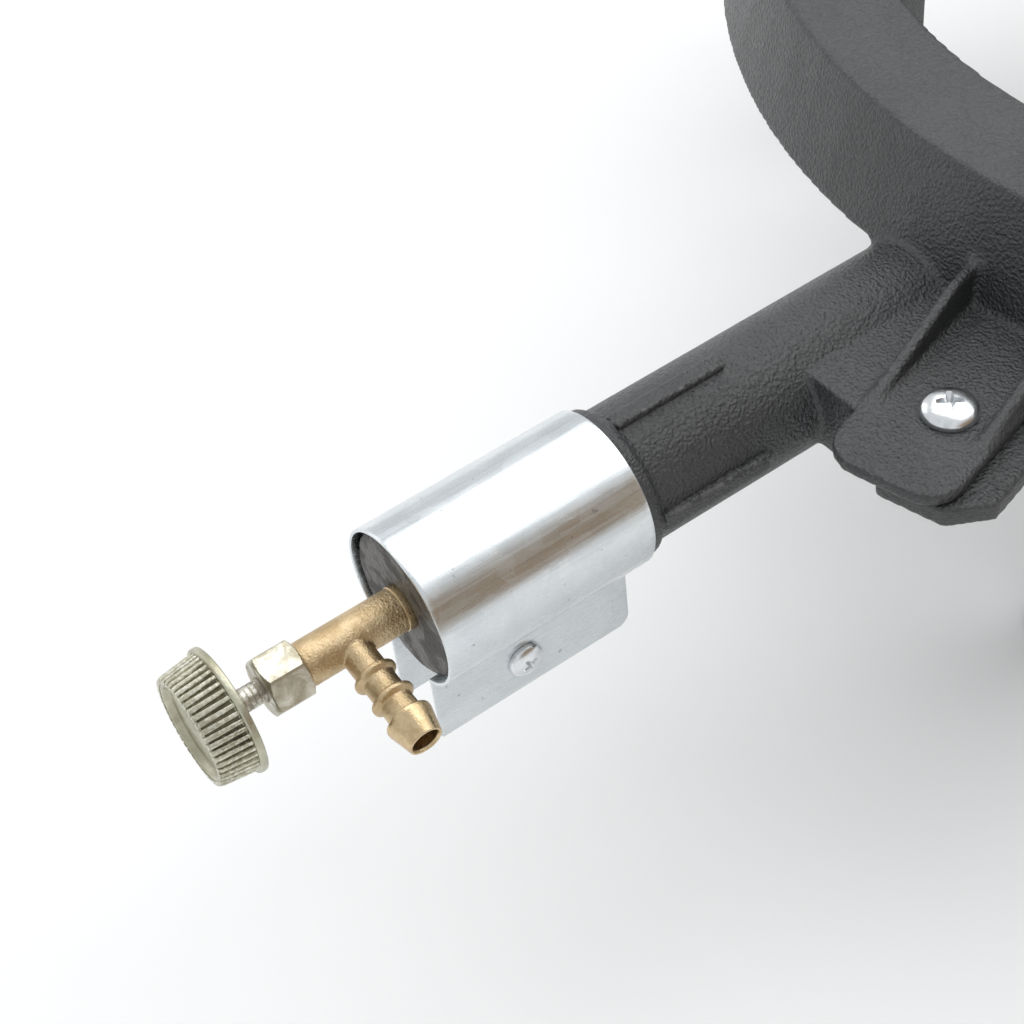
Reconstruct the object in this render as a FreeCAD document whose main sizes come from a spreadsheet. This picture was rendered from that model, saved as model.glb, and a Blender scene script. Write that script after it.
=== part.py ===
import FreeCAD, Part
import math
import os
import Sketcher

# Cast-iron gas ring stove: a rim casting with a mixing tube, four bolted legs, a burner cap,
# a sliding air shutter and a brass needle valve with a hose tail and a fluted knob.
#
# Row frame: +Z up, Z = 0 under the feet, the mixing tube runs along Y with the knob towards -Y,
# and X = Y = 0 is the middle of the object's box.
# "Stations" count along the tube axis from the front rim of the air shutter, positive towards
# the knob, so the valve has positive stations and the casting has negative ones.

SIZES = {
    # rim casting, heights counted from the mixing tube's axis
    "tube_height": 95.0,
    "rim_outer": 168.0,
    "rim_draft": 7.5,
    "rim_width": 22.9,
    "rim_top": 36.5,
    "rim_bottom": 10.0,
    "rim_wall": 5.0,
    "rim_plate": 5.0,
    # mixing tube
    "tube_stand": 128.0,
    "tube_radius": 14.7,
    "tube_wall": 3.5,
    "disc_recess": 0.8,
    "disc_thick": 4.5,
    "nose_relief": 0.6,
    "nose_length": 3.0,
    "seat_step": 1.5,
    "seat_end": 51.0,
    "guide_width": 2.2,
    "guide_height": 1.2,
    "guide_end": 78.0,
    "window_start": 8.0,
    "window_length": 15.0,
    "window_width": 13.0,
    # lugs for the legs
    "lug_stand": 26.9,
    "lug_offset": 10.8,
    "lug_skew": 15.6,
    "lug_out": 22.3,
    "lug_left": 15.3,
    "lug_right": 12.1,
    "lug_corner": 7.5,
    "lug_top": 11.5,
    "lug_thick": 3.0,
    "rib_thick": 3.2,
    "rib_rise": 8.5,
    "rib_toe": 18.5,
    "rib_heel": -24.0,
    "rib_gap": 20.4,
    "root_start": -37.0,
    "root_end": -33.0,
    "web_stand": 36.2,
    "web_width": 25.0,
    "web_top": 11.0,
    "web_bottom": -6.0,
    # burner bowl, arms and cap
    "bowl_radius": 72.0,
    "bowl_foot": 50.0,
    "bowl_bottom": -21.0,
    "bowl_shoulder": -4.0,
    "bowl_top": 8.0,
    "bowl_wall": 5.0,
    "bowl_floor": 4.5,
    "post_radius": 8.0,
    "arm_width": 8.0,
    "arm_bottom": 0.0,
    "arm_step": 94.0,
    "cap_height": 11.0,
    "cap_skirt": 8.0,
    "cap_lid": 3.5,
    "cap_clearance": 0.4,
    "port_radius": 1.5,
    "port_height": 4.0,
    # legs
    "leg_front": 20.3,
    "leg_left": 4.0,
    "leg_right": 18.4,
    "leg_thick": 5.0,
    "leg_neck": -19.0,
    "leg_back": -52.0,
    "leg_post": 7.0,
    "leg_post_left": 4.0,
    "leg_corner": 7.1,
    "leg_gusset": 10.0,
    "foot_back": -62.0,
    "foot_front": -43.0,
    "foot_thick": 5.0,
    "foot_side": 2.5,
    # screws, washers and nuts
    "leg_thread": 3.0,
    "leg_head": 5.8,
    "leg_head_rise": 3.2,
    "leg_washer": 5.5,
    "leg_washer_thick": 1.6,
    "leg_nut_flats": 10.0,
    "leg_nut_thick": 5.0,
    "clamp_thread": 2.0,
    "clamp_head": 4.0,
    "clamp_head_rise": 2.2,
    "clamp_washer": 4.5,
    "clamp_washer_thick": 0.8,
    "clamp_nut_flats": 7.0,
    "clamp_nut_thick": 3.2,
    "thread_tail": 1.5,
    "hole_clearance": 0.35,
    "thread_clearance": 0.06,
    # air shutter
    "shutter_clearance": 0.1,
    "shutter_sheet": 0.7,
    "shutter_length": 48.1,
    "ear_inside": 6.5,
    "ear_start": 0.3,
    "ear_end": 47.0,
    "ear_depth": 16.5,
    "ear_corner": 3.0,
    "clamp_station": 21.4,
    "clamp_depth": 8.2,
    # valve body and hose tail
    "spigot_radius": 4.0,
    "spigot_length": 9.0,
    "ring_radius": 4.75,
    "ring_length": 1.2,
    "valve_radius": 4.6,
    "valve_length": 22.0,
    "gland_thread_step": 0.35,
    "gland_thread_length": 4.4,
    "packing_wall": 1.1,
    "packing_depth": 5.0,
    "chamber_clearance": 0.5,
    "chamber_start": 8.0,
    "seat_hole": 1.0,
    "jet_socket": 2.6,
    "jet_socket_depth": 6.0,
    "tail_station": 11.8,
    "tail_tilt": 10.0,
    "tail_length": 26.4,
    "tail_stem": 3.35,
    "tail_bore": 2.8,
    "tail_ridge": 4.45,
    "tail_ridge_length": 1.8,
    "tail_ridge_one": 9.9,
    "tail_ridge_two": 15.6,
    "tail_cone": 4.75,
    "tail_cone_start": 20.4,
    "tail_land": 0.8,
    "tail_mouth": 3.5,
    # jet
    "jet_length": 11.0,
    "jet_head": 3.2,
    "jet_head_length": 4.0,
    "jet_hole": 0.45,
    # spindle, packing and gland nut
    "spindle_radius": 2.4,
    "needle_tip": 0.3,
    "needle_length": 4.0,
    "spindle_end": 43.0,
    "running_clearance": 0.05,
    "packing_thick": 3.6,
    "packing_washer_thick": 1.0,
    "nut_flats": 11.5,
    "nut_length": 8.3,
    "nut_chamfer": 0.8,
    # knob
    "knob_back": 36.8,
    "knob_flange": 13.0,
    "knob_flange_thick": 1.6,
    "knob_root": 12.3,
    "knob_face": 11.4,
    "knob_rim_length": 7.4,
    "knob_dish": 2.6,
    "knob_wall": 1.8,
    "knob_hub_wall": 1.8,
    "flute_depth": 0.45,
    "knob_screw_lap": 0.2,
    "knob_screw_rise": 1.4,
    "knob_screw_thread": 1.4,
    "knob_screw_length": 5.0,
}

LEG_COUNT = 4
PORT_COUNT = 36
FLUTE_COUNT = 48
GUIDE_TURNS = (0, 90, 180, 270)
WINDOW_TURNS = (90, 210, 330)

doc = FreeCAD.newDocument("ring_stove")
sheet = doc.addObject("Spreadsheet::Sheet", "size")
for row, (word, value) in enumerate(SIZES.items(), start=1):
    sheet.set(f"A{row}", word)
    sheet.set(f"B{row}", str(value))
    sheet.setAlias(f"B{row}", word)
doc.recompute()

X_AXIS = FreeCAD.Vector(1, 0, 0)
Y_AXIS = FreeCAD.Vector(0, 1, 0)
Z_AXIS = FreeCAD.Vector(0, 0, 1)
UPRIGHT = FreeCAD.Rotation()
FORWARD = FreeCAD.Rotation(X_AXIS, 90)
BACKWARD = FreeCAD.Rotation(X_AXIS, -90)
RIGHTWARD = FreeCAD.Rotation(Y_AXIS, 90)

# Sizes that follow from the driving ones.
RIM_INNER = "(size.rim_outer - size.rim_draft - size.rim_width)"
RIM_SLOPE = "size.rim_draft / (size.rim_top - size.rim_bottom)"
TUBE_REACH = "(size.rim_outer + size.tube_stand)"
LUG_RADIUS = "(size.rim_outer + size.lug_stand)"
WEB_FRONT = "(size.rim_outer + size.web_stand)"
TUBE_BORE = "(size.tube_radius - size.tube_wall)"
SEAT_RADIUS = "(size.tube_radius + size.seat_step)"
NOSE_RADIUS = f"({SEAT_RADIUS} - size.nose_relief)"
SHUTTER_INNER = f"({SEAT_RADIUS} + size.shutter_clearance)"
SHUTTER_OUTER = f"({SHUTTER_INNER} + size.shutter_sheet)"
EAR_BOTTOM = f"(-{SHUTTER_OUTER} - size.ear_depth)"
CLAMP_DROP = f"(-{SHUTTER_OUTER} - size.clamp_depth)"
GLAND_THREAD = "(size.valve_radius - size.gland_thread_step)"
CHAMBER_RADIUS = "(size.spindle_radius + size.chamber_clearance)"
KNOB_SCREW_HEAD = "(size.spindle_radius + size.knob_screw_lap)"
KNOB_HUB = "(size.spindle_radius + size.knob_hub_wall)"
PACKING_POCKET = "(size.spindle_radius + size.packing_wall)"

# The ring's centre sits so that the knob's face and the far lug are equally far from Y = 0.
BACK_REACH = (
    f"({LUG_RADIUS} * cos(size.lug_offset * 1 deg)"
    " + (size.lug_out - size.lug_corner) * cos(size.lug_skew * 1 deg)"
    " + (size.lug_left - size.lug_corner) * sin(size.lug_skew * 1 deg) + size.lug_corner)"
)
KNOB_TIP = "(size.knob_back + size.knob_flange_thick + size.knob_rim_length)"
RING_Y = f"(({TUBE_REACH} + {KNOB_TIP} - {BACK_REACH}) / 2)"
FRONT_Y = f"({RING_Y} - {TUBE_REACH})"


def part(kind, name, sizes, at=("0", "0", "0"), turn=UPRIGHT):
    """A Part primitive with its sizes and its corner or centre bound to the sheet."""
    shape = doc.addObject(kind, name)
    for prop, rule in sizes.items():
        shape.setExpression(prop, rule)
    shape.Placement = FreeCAD.Placement(FreeCAD.Vector(), turn)
    for letter, rule in zip("xyz", at):
        shape.setExpression(f"Placement.Base.{letter}", rule)
    return shape


def box(name, length, width, height, at, turn=UPRIGHT):
    return part("Part::Box", name, {"Length": length, "Width": width, "Height": height}, at, turn)


def cylinder(name, radius, height, at=("0", "0", "0"), turn=UPRIGHT):
    return part("Part::Cylinder", name, {"Radius": radius, "Height": height}, at, turn)


def cone(name, low, high, height, at=("0", "0", "0"), turn=UPRIGHT):
    sizes = {"Radius1": low, "Radius2": high, "Height": height}
    return part("Part::Cone", name, sizes, at, turn)


def hexagon(name, flats, height, at=("0", "0", "0"), turn=UPRIGHT):
    """A hexagonal prism given by its size across the flats."""
    sizes = {"Circumradius": f"({flats}) / 2 / cos(30 deg)", "Height": height}
    prism = part("Part::Prism", name, sizes, at, turn)
    prism.Polygon = 6
    return prism


def fuse(name, pieces):
    joined = doc.addObject("Part::MultiFuse", name)
    joined.Shapes = pieces
    return joined


def cut(name, base, tools):
    """The base without the tools, which are joined first when there are several."""
    result = doc.addObject("Part::Cut", name)
    result.Base = base
    result.Tool = tools[0] if len(tools) == 1 else fuse(name + "_tools", tools)
    return result


def common(name, one, other):
    result = doc.addObject("Part::Common", name)
    result.Base = one
    result.Tool = other
    return result


def settle(piece, label, at, turn=UPRIGHT):
    """Name a finished sub-part and put it where it belongs in the row frame."""
    piece.Label = label
    piece.Placement = FreeCAD.Placement(FreeCAD.Vector(), turn)
    for letter, rule in zip("xyz", at):
        piece.setExpression(f"Placement.Base.{letter}", rule)
    finished.append(piece)
    return piece


def origin_plane(body, role):
    return next(item for item in body.Origin.OriginFeatures if item.Role == role)


def outline(body, name, plane, corners):
    """A closed polygon whose corners are given by rules, on one of the body's own planes."""
    sketch = body.newObject("Sketcher::SketchObject", name)
    sketch.AttachmentSupport = (origin_plane(body, plane), [""])
    sketch.MapMode = "FlatFace"
    count = len(corners)
    step = 2 * math.pi / count
    start = [FreeCAD.Vector(20 + math.cos(i * step), math.sin(i * step), 0) for i in range(count)]
    for i in range(count):
        sketch.addGeometry(Part.LineSegment(start[i], start[(i + 1) % count]), False)
    for i in range(count):
        sketch.addConstraint(Sketcher.Constraint("Coincident", i, 2, (i + 1) % count, 1))
    for i, rules in enumerate(corners):
        for kind, rule in zip(("DistanceX", "DistanceY"), rules):
            index = sketch.addConstraint(Sketcher.Constraint(kind, -1, 1, i, 1, 1.0))
            sketch.setExpression(f"Constraints[{index}]", rule)
    return sketch


def turned_body(name, corners):
    """A PartDesign body turned about its own Z axis from a half section of (radius, height)."""
    body = doc.addObject("PartDesign::Body", name)
    sketch = outline(body, name + "_section", "XZ_Plane", corners)
    turn = body.newObject("PartDesign::Revolution", name + "_turned")
    turn.Profile = sketch
    turn.ReferenceAxis = (sketch, ["V_Axis"])
    turn.Angle = 360
    body.Tip = turn
    return body


def lug_place(turn, out, side, up):
    """Rules for a point of the lug frame, turned about the ring's axis by a number of degrees."""
    spot = f"((size.lug_offset - 90 + {turn}) * 1 deg)"
    head = f"((size.lug_skew - 90 + {turn}) * 1 deg)"
    along = f"{LUG_RADIUS} * cos{spot} + ({out}) * cos{head} - ({side}) * sin{head}"
    across = f"{LUG_RADIUS} * sin{spot} + ({out}) * sin{head} + ({side}) * cos{head}"
    return along, across, up


def lug_turn(turn):
    return FreeCAD.Rotation(Z_AXIS, SIZES["lug_skew"] - 90 + turn)


def tube_place(station, side="0", up="0"):
    """Rules for a point of the casting, given by its station behind the shutter's front rim."""
    return side, f"{station} - {TUBE_REACH}", up


def rim():
    outside = cone("rim_outside", "size.rim_outer", "size.rim_outer - size.rim_draft",
                   "size.rim_top - size.rim_bottom", ("0", "0", "size.rim_bottom"))
    opening = cylinder("rim_opening", RIM_INNER, "2 * (size.rim_top - size.rim_bottom)",
                       ("0", "0", "size.rim_bottom - size.rim_plate"))
    hollow = cone("rim_hollow", f"size.rim_outer - size.rim_wall + {RIM_SLOPE} * size.rim_plate",
                  f"size.rim_outer - size.rim_wall - size.rim_draft + {RIM_SLOPE} * size.rim_plate",
                  "size.rim_top - size.rim_bottom",
                  ("0", "0", "size.rim_bottom - size.rim_plate"))
    return cut("rim", outside, [opening, hollow])


def lug(turn):
    """One leg lug: a rounded plate, its root under the wall, and two ribs up to the wall."""
    tag = f"lug_{turn}"
    width = "size.lug_left + size.lug_right"
    low = "size.lug_top - size.lug_thick"
    pieces = [
        box(tag + "_plate", "size.lug_out - size.lug_corner - size.root_end", width,
            "size.lug_thick", lug_place(turn, "size.root_end", "-size.lug_left", low),
            lug_turn(turn)),
        box(tag + "_tip", "2 * size.lug_corner", f"{width} - 2 * size.lug_corner",
            "size.lug_thick",
            lug_place(turn, "size.lug_out - 2 * size.lug_corner",
                      "size.lug_corner - size.lug_left", low), lug_turn(turn)),
        box(tag + "_root", "size.root_end - size.root_start", width,
            "size.rim_bottom - size.lug_top + size.lug_thick + size.rim_wall",
            lug_place(turn, "size.root_start", "-size.lug_left", low), lug_turn(turn)),
    ]
    for name, side in (("left", "size.lug_corner - size.lug_left"),
                       ("right", "size.lug_right - size.lug_corner")):
        pieces.append(cylinder(f"{tag}_{name}_corner", "size.lug_corner", "size.lug_thick",
                               lug_place(turn, "size.lug_out - size.lug_corner", side, low)))
    upright = lug_turn(turn).multiply(FORWARD)
    for name, side in (("left", "size.rib_thick - size.lug_left"),
                       ("right", "2 * size.rib_thick + size.rib_gap - size.lug_left")):
        sizes = {
            "Xmin": "size.root_end", "Xmax": "size.rib_toe",
            "X2min": "size.root_end", "X2max": "size.rib_heel",
            "Ymin": "-size.lug_thick", "Ymax": "size.rib_rise",
            "Zmin": "0", "Zmax": "size.rib_thick",
            "Z2min": "0.15 * size.rib_thick", "Z2max": "0.85 * size.rib_thick",
        }
        pieces.append(part("Part::Wedge", f"{tag}_{name}_rib", sizes,
                           lug_place(turn, "0", side, "size.lug_top"), upright))
    return pieces


def lug_hole(turn):
    return cylinder(f"lug_{turn}_hole", "size.leg_thread + size.hole_clearance",
                    "4 * size.lug_thick",
                    lug_place(turn, "0", "0", "size.lug_top - 2 * size.lug_thick"))


def mixing_tube():
    """The tube with its shutter seat, nose, guide ribs and the web to the first lug."""
    pieces = [
        cylinder("tube", "size.tube_radius",
                 f"{TUBE_REACH} - size.nose_length - size.bowl_radius + size.bowl_wall",
                 tube_place("size.nose_length"), BACKWARD),
        cylinder("tube_nose", NOSE_RADIUS, "size.nose_length + size.disc_thick",
                 tube_place("size.disc_recess"), BACKWARD),
        cylinder("tube_seat", SEAT_RADIUS,
                 "size.seat_end - size.disc_recess - size.nose_length",
                 tube_place("size.disc_recess + size.nose_length"), BACKWARD),
        box("tube_web", "size.web_width",
            f"{WEB_FRONT} - size.rim_outer + 2 * size.rim_wall",
            "size.web_top - size.web_bottom", ("0", f"-{WEB_FRONT}", "size.web_bottom")),
    ]
    for turn in GUIDE_TURNS:
        angle = f"({turn} * 1 deg)"
        side = f"size.guide_width / 2 * sin{angle}"
        up = f"-size.guide_width / 2 * cos{angle}"
        pieces.append(box(f"guide_{turn}", "size.tube_radius + size.guide_height",
                          "size.guide_end - size.seat_end + size.guide_width",
                          "size.guide_width",
                          tube_place("size.seat_end - size.guide_width", side, up),
                          FreeCAD.Rotation(Y_AXIS, -turn)))
    return pieces


def tube_hollows():
    bore = cylinder("tube_hollow", TUBE_BORE,
                    f"{TUBE_REACH} - size.bowl_radius + 2 * size.bowl_wall"
                    " - size.disc_recess - size.disc_thick",
                    tube_place("size.disc_recess + size.disc_thick"), BACKWARD)
    inlet = cylinder("disc_hole", "size.spigot_radius + size.thread_clearance",
                     "3 * size.disc_thick", tube_place("-size.disc_thick"), BACKWARD)
    hollows = [bore, inlet]
    for turn in WINDOW_TURNS:
        angle = f"({turn} * 1 deg)"
        side = f"size.window_width / 2 * sin{angle}"
        up = f"-size.window_width / 2 * cos{angle}"
        hollows.append(box(f"window_{turn}", f"2 * {SEAT_RADIUS}", "size.window_length",
                           "size.window_width",
                           tube_place("size.window_start + size.disc_thick", side, up),
                           FreeCAD.Rotation(Y_AXIS, -turn)))
    return hollows


def arms():
    """Four pot arms between the bowl and the rim, halfway between the lugs."""
    pieces = []
    for turn in (45, 135, 225, 315):
        angle = f"({turn} * 1 deg)"
        start = "size.bowl_radius - size.bowl_wall / 2"
        along = f"({start}) * cos{angle} + size.arm_width / 2 * sin{angle}"
        across = f"({start}) * sin{angle} - size.arm_width / 2 * cos{angle}"
        pieces.append(box(f"arm_{turn}",
                          f"size.rim_outer - size.rim_draft - size.rim_wall / 2 - ({start})",
                          "size.arm_width", "size.rim_top - size.arm_bottom",
                          (along, across, "size.arm_bottom"),
                          FreeCAD.Rotation(Z_AXIS, turn)))
    return pieces


def bowl():
    return [
        cone("bowl_lower", "size.bowl_foot", "size.bowl_radius",
             "size.bowl_shoulder - size.bowl_bottom", ("0", "0", "size.bowl_bottom")),
        cylinder("bowl_upper", "size.bowl_radius", "size.bowl_top - size.bowl_shoulder",
                 ("0", "0", "size.bowl_shoulder")),
    ]


def bowl_hollows():
    lower = cone("bowl_lower_hollow", "size.bowl_foot - size.bowl_wall",
                 "size.bowl_radius - size.bowl_wall",
                 "size.bowl_shoulder - size.bowl_bottom - size.bowl_floor",
                 ("0", "0", "size.bowl_bottom + size.bowl_floor"))
    upper = cylinder("bowl_upper_hollow", "size.bowl_radius - size.bowl_wall",
                     "2 * (size.bowl_top - size.bowl_shoulder)",
                     ("0", "0", "size.bowl_shoulder"))
    above = cylinder("pot_clearance", "size.arm_step", "2 * size.rim_top",
                     ("0", "0", "size.bowl_top"))
    return [lower, upper, above]


def stove_frame():
    """The one-piece casting: rim, lugs, mixing tube, arms and burner bowl."""
    ring = [rim()]
    hollows = bowl_hollows() + tube_hollows()
    for number in range(LEG_COUNT):
        ring += lug(number * 90)
        hollows.append(lug_hole(number * 90))
    solids = [fuse("frame_ring", ring), fuse("frame_middle", bowl() + arms())]
    whole_tube = fuse("frame_tube", mixing_tube())
    shell = cut("frame_shell", fuse("frame_solids", solids + [whole_tube]), hollows)
    post = cylinder("cap_post", "size.post_radius", "size.bowl_top - size.bowl_bottom",
                    ("0", "0", "size.bowl_bottom"))
    tapped = cylinder("cap_post_hole", "size.leg_thread + size.thread_clearance",
                      "2 * (size.bowl_top - size.bowl_bottom)",
                      ("0", "0", "size.bowl_bottom - size.bowl_floor"))
    whole = cut("frame_whole", fuse("frame_with_post", [shell, post]), [tapped])
    settle(whole, "stove_frame", ("0", RING_Y, "size.tube_height"))


def burner_cap():
    """The ported cap: a hollow lid with a locating lip inside the bowl and a ring of ports."""
    lip = "size.bowl_radius - size.bowl_wall - size.cap_clearance"
    cap = turned_body("cap_body", [
        ("size.leg_thread + size.hole_clearance", "size.cap_height"),
        ("size.leg_thread + size.hole_clearance", "0"),
        ("size.post_radius", "0"),
        ("size.post_radius", "size.cap_height - size.cap_lid"),
        ("size.bowl_radius - size.cap_skirt", "size.cap_height - size.cap_lid"),
        ("size.bowl_radius - size.cap_skirt", "-size.cap_lid"),
        (lip, "-size.cap_lid"),
        (lip, "0"),
        ("size.bowl_radius", "0"),
        ("size.bowl_radius", "size.cap_height - size.cap_lid"),
        ("size.bowl_radius - size.cap_skirt", "size.cap_height"),
    ])
    ports = []
    for number in range(PORT_COUNT):
        heading = FreeCAD.Rotation(Z_AXIS, number * 360 / PORT_COUNT).multiply(RIGHTWARD)
        ports.append(cylinder(f"port_{number}", "size.port_radius", "size.bowl_radius + 1",
                              ("0", "0", "size.port_height"), heading))
    core = cylinder("port_core", "size.post_radius + size.cap_skirt", "size.cap_height",
                    ("0", "0", "0"))
    spray = cut("port_spray", fuse("port_rods", ports), [core])
    settle(cut("cap_ported", cap, [spray]), "burner_cap",
           ("0", RING_Y, "size.tube_height + size.bowl_top"))


def cross_recess(name, head, rise, reach):
    """Two crossed slots that make a Phillips recess in a head whose top is at the given rise."""
    span = f"({head}) * 1.1"
    slot = f"({head}) * 0.22"
    depth = f"({rise}) * 0.6"
    return [
        box(f"{name}_slot_a", span, slot, reach,
            (f"-({span}) / 2", f"-({slot}) / 2", f"({rise}) - {depth}")),
        box(f"{name}_slot_b", slot, span, reach,
            (f"-({slot}) / 2", f"-({span}) / 2", f"({rise}) - {depth}")),
    ]


def pan_screw(name, head, rise, thread, length):
    """A pan-head screw with its head's seat at Z = 0 and its shank below."""
    skirt = cylinder(name + "_skirt", head, f"({rise}) * 0.35")
    crown = cone(name + "_crown", head, f"({head}) * 0.72", f"({rise}) * 0.65",
                 ("0", "0", f"({rise}) * 0.35"))
    shank = cylinder(name + "_shank", thread, length, ("0", "0", f"-({length})"))
    solid = fuse(name + "_solid", [skirt, crown, shank])
    return cut(name + "_screw", solid, cross_recess(name, head, rise, rise))


def hex_nut(name, flats, thick, thread):
    hole = cylinder(name + "_hole", f"{thread} + size.thread_clearance", f"3 * {thick}",
                    ("0", "0", f"-{thick}"))
    return cut(name + "_nut", hexagon(name + "_prism", flats, thick), [hole])


def washer(name, radius, thick, hole):
    opening = cylinder(name + "_opening", hole, f"3 * {thick}", ("0", "0", f"-{thick}"))
    return cut(name + "_ring", cylinder(name + "_disc", radius, thick), [opening])


def ring_place(turn, out, side, up):
    """A lug-frame point in the row frame."""
    along, across, level = lug_place(turn, out, side, up)
    return along, f"{RING_Y} + {across}", f"size.tube_height + {level}"


def leg(turn, number):
    """A cast leg: flange under the lug, neck and post under the rim, gusset, and a foot pad."""
    tag = f"leg_{number}"
    under = "size.lug_top - size.lug_thick"
    post_width = "size.leg_right - size.leg_post_left"
    flange = box(tag + "_flange", "size.leg_front - size.leg_neck",
                 "size.leg_left + size.leg_right", "size.leg_thick",
                 ("size.leg_neck", "-size.leg_left", f"{under} - size.leg_thick"))
    neck = box(tag + "_neck", "size.leg_neck - size.leg_back + size.leg_post", post_width,
               "size.leg_thick",
               ("size.leg_back", "size.leg_post_left", f"{under} - size.leg_thick"))
    corner = box(tag + "_corner", "4 * size.leg_corner", "4 * size.leg_corner",
                 "3 * size.leg_thick",
                 ("size.leg_front - size.leg_corner", "size.leg_right",
                  f"{under} - 2 * size.leg_thick"), FreeCAD.Rotation(Z_AXIS, -45))
    post = box(tag + "_post", "size.leg_post", post_width, f"size.tube_height + {under}",
               ("size.leg_back", "size.leg_post_left", "-size.tube_height"))
    foot = box(tag + "_foot", "size.foot_front - size.foot_back",
               f"{post_width} + 2 * size.foot_side", "size.foot_thick",
               ("size.foot_back", "size.leg_post_left - size.foot_side", "-size.tube_height"))
    sizes = {
        "Xmin": "0", "Xmax": "0.01", "X2min": "0", "X2max": "size.leg_gusset",
        "Ymin": "0", "Ymax": "2 * size.leg_gusset",
        "Zmin": "0", "Zmax": "size.leg_post", "Z2min": "0", "Z2max": "size.leg_post",
    }
    gusset = part("Part::Wedge", tag + "_gusset", sizes,
                  ("size.leg_back + size.leg_post",
                   "(size.leg_right + size.leg_post_left + size.leg_post) / 2",
                   f"{under} - size.leg_thick - 2 * size.leg_gusset"), FORWARD)
    hole = cylinder(tag + "_hole", "size.leg_thread + size.hole_clearance",
                    "3 * size.leg_thick", ("0", "0", f"{under} - 2 * size.leg_thick"))
    whole = cut(tag + "_whole", fuse(tag + "_solid", [flange, neck, post, foot, gusset]),
                [hole, corner])
    settle(whole, tag, ring_place(turn, "0", "0", "0"), lug_turn(turn))


def leg_fasteners(turn, number):
    under = "size.lug_top - size.lug_thick - size.leg_thick"
    length = ("size.lug_thick + size.leg_thick + size.leg_washer_thick + size.leg_nut_thick"
              " + size.thread_tail")
    screw = pan_screw(f"leg_{number}_fix", "size.leg_head", "size.leg_head_rise",
                      "size.leg_thread", length)
    settle(screw, f"leg_screw_{number}", ring_place(turn, "0", "0", "size.lug_top"),
           lug_turn(turn))
    ring = washer(f"leg_{number}_washer", "size.leg_washer", "size.leg_washer_thick",
                  "size.leg_thread + size.hole_clearance")
    settle(ring, f"leg_washer_{number}",
           ring_place(turn, "0", "0", f"{under} - size.leg_washer_thick"), lug_turn(turn))
    nut = hex_nut(f"leg_{number}_nut", "size.leg_nut_flats", "size.leg_nut_thick",
                  "size.leg_thread")
    settle(nut, f"leg_nut_{number}",
           ring_place(turn, "0", "0", f"{under} - size.leg_washer_thick - size.leg_nut_thick"),
           lug_turn(turn))


def cap_screw():
    screw = pan_screw("cap_fix", "size.leg_head", "size.leg_head_rise", "size.leg_thread",
                      "size.cap_height + size.post_radius")
    settle(screw, "cap_screw",
           ("0", RING_Y, "size.tube_height + size.bowl_top + size.cap_height"))


def air_shutter():
    """The rolled sheet sleeve, open at the bottom, with two ears clamped by a screw."""
    roll = cut("shutter_roll",
               cylinder("shutter_outside", SHUTTER_OUTER, "size.shutter_length",
                        turn=BACKWARD),
               [cylinder("shutter_inside", SHUTTER_INNER, "3 * size.shutter_length",
                         ("0", "-size.shutter_length", "0"), BACKWARD),
                box("shutter_gap", "2 * size.ear_inside", "3 * size.shutter_length",
                    f"2 * {SHUTTER_OUTER}",
                    ("-size.ear_inside", "-size.shutter_length", f"-2 * {SHUTTER_OUTER}"))])
    ears = []
    for name, side in (("left", "-size.ear_inside - size.shutter_sheet"),
                       ("right", "size.ear_inside")):
        height = f"-sqrt({SHUTTER_INNER} ^ 2 - size.ear_inside ^ 2) - {EAR_BOTTOM}"
        ears.append(box(f"ear_{name}", "size.shutter_sheet",
                        "size.ear_end - size.ear_start - size.ear_corner", height,
                        (side, "size.ear_start", EAR_BOTTOM)))
        ears.append(box(f"ear_{name}_end", "size.shutter_sheet", "2 * size.ear_corner",
                        f"{height} - size.ear_corner",
                        (side, "size.ear_end - 2 * size.ear_corner",
                         f"{EAR_BOTTOM} + size.ear_corner")))
        ears.append(cylinder(f"ear_{name}_corner", "size.ear_corner", "size.shutter_sheet",
                             (side, "size.ear_end - size.ear_corner",
                              f"{EAR_BOTTOM} + size.ear_corner"), RIGHTWARD))
    hole = cylinder("clamp_hole", "size.clamp_thread + size.hole_clearance",
                    "4 * size.ear_inside",
                    ("-2 * size.ear_inside", "size.clamp_station", CLAMP_DROP),
                    RIGHTWARD)
    sleeve = cut("shutter_sleeve", fuse("shutter_sheet_metal", [roll] + ears), [hole])
    settle(sleeve, "air_shutter", ("0", FRONT_Y, "size.tube_height"))


def clamp_fasteners():
    face = "size.ear_inside + size.shutter_sheet"
    y_place = f"{FRONT_Y} + size.clamp_station"
    z_place = f"size.tube_height + {CLAMP_DROP}"
    length = (f"2 * ({face}) + size.clamp_washer_thick + size.clamp_nut_thick"
              " + size.thread_tail")
    screw = pan_screw("clamp_fix", "size.clamp_head", "size.clamp_head_rise",
                      "size.clamp_thread", length)
    settle(screw, "shutter_clamp_screw", (face, y_place, z_place), RIGHTWARD)
    ring = washer("clamp_washer_part", "size.clamp_washer", "size.clamp_washer_thick",
                  "size.clamp_thread + size.hole_clearance")
    settle(ring, "shutter_clamp_washer",
           (f"-({face}) - size.clamp_washer_thick", y_place, z_place), RIGHTWARD)
    nut = hex_nut("clamp_nut_part", "size.clamp_nut_flats", "size.clamp_nut_thick",
                  "size.clamp_thread")
    settle(nut, "shutter_clamp_nut",
           (f"-({face}) - size.clamp_washer_thick - size.clamp_nut_thick", y_place, z_place),
           RIGHTWARD)


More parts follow.
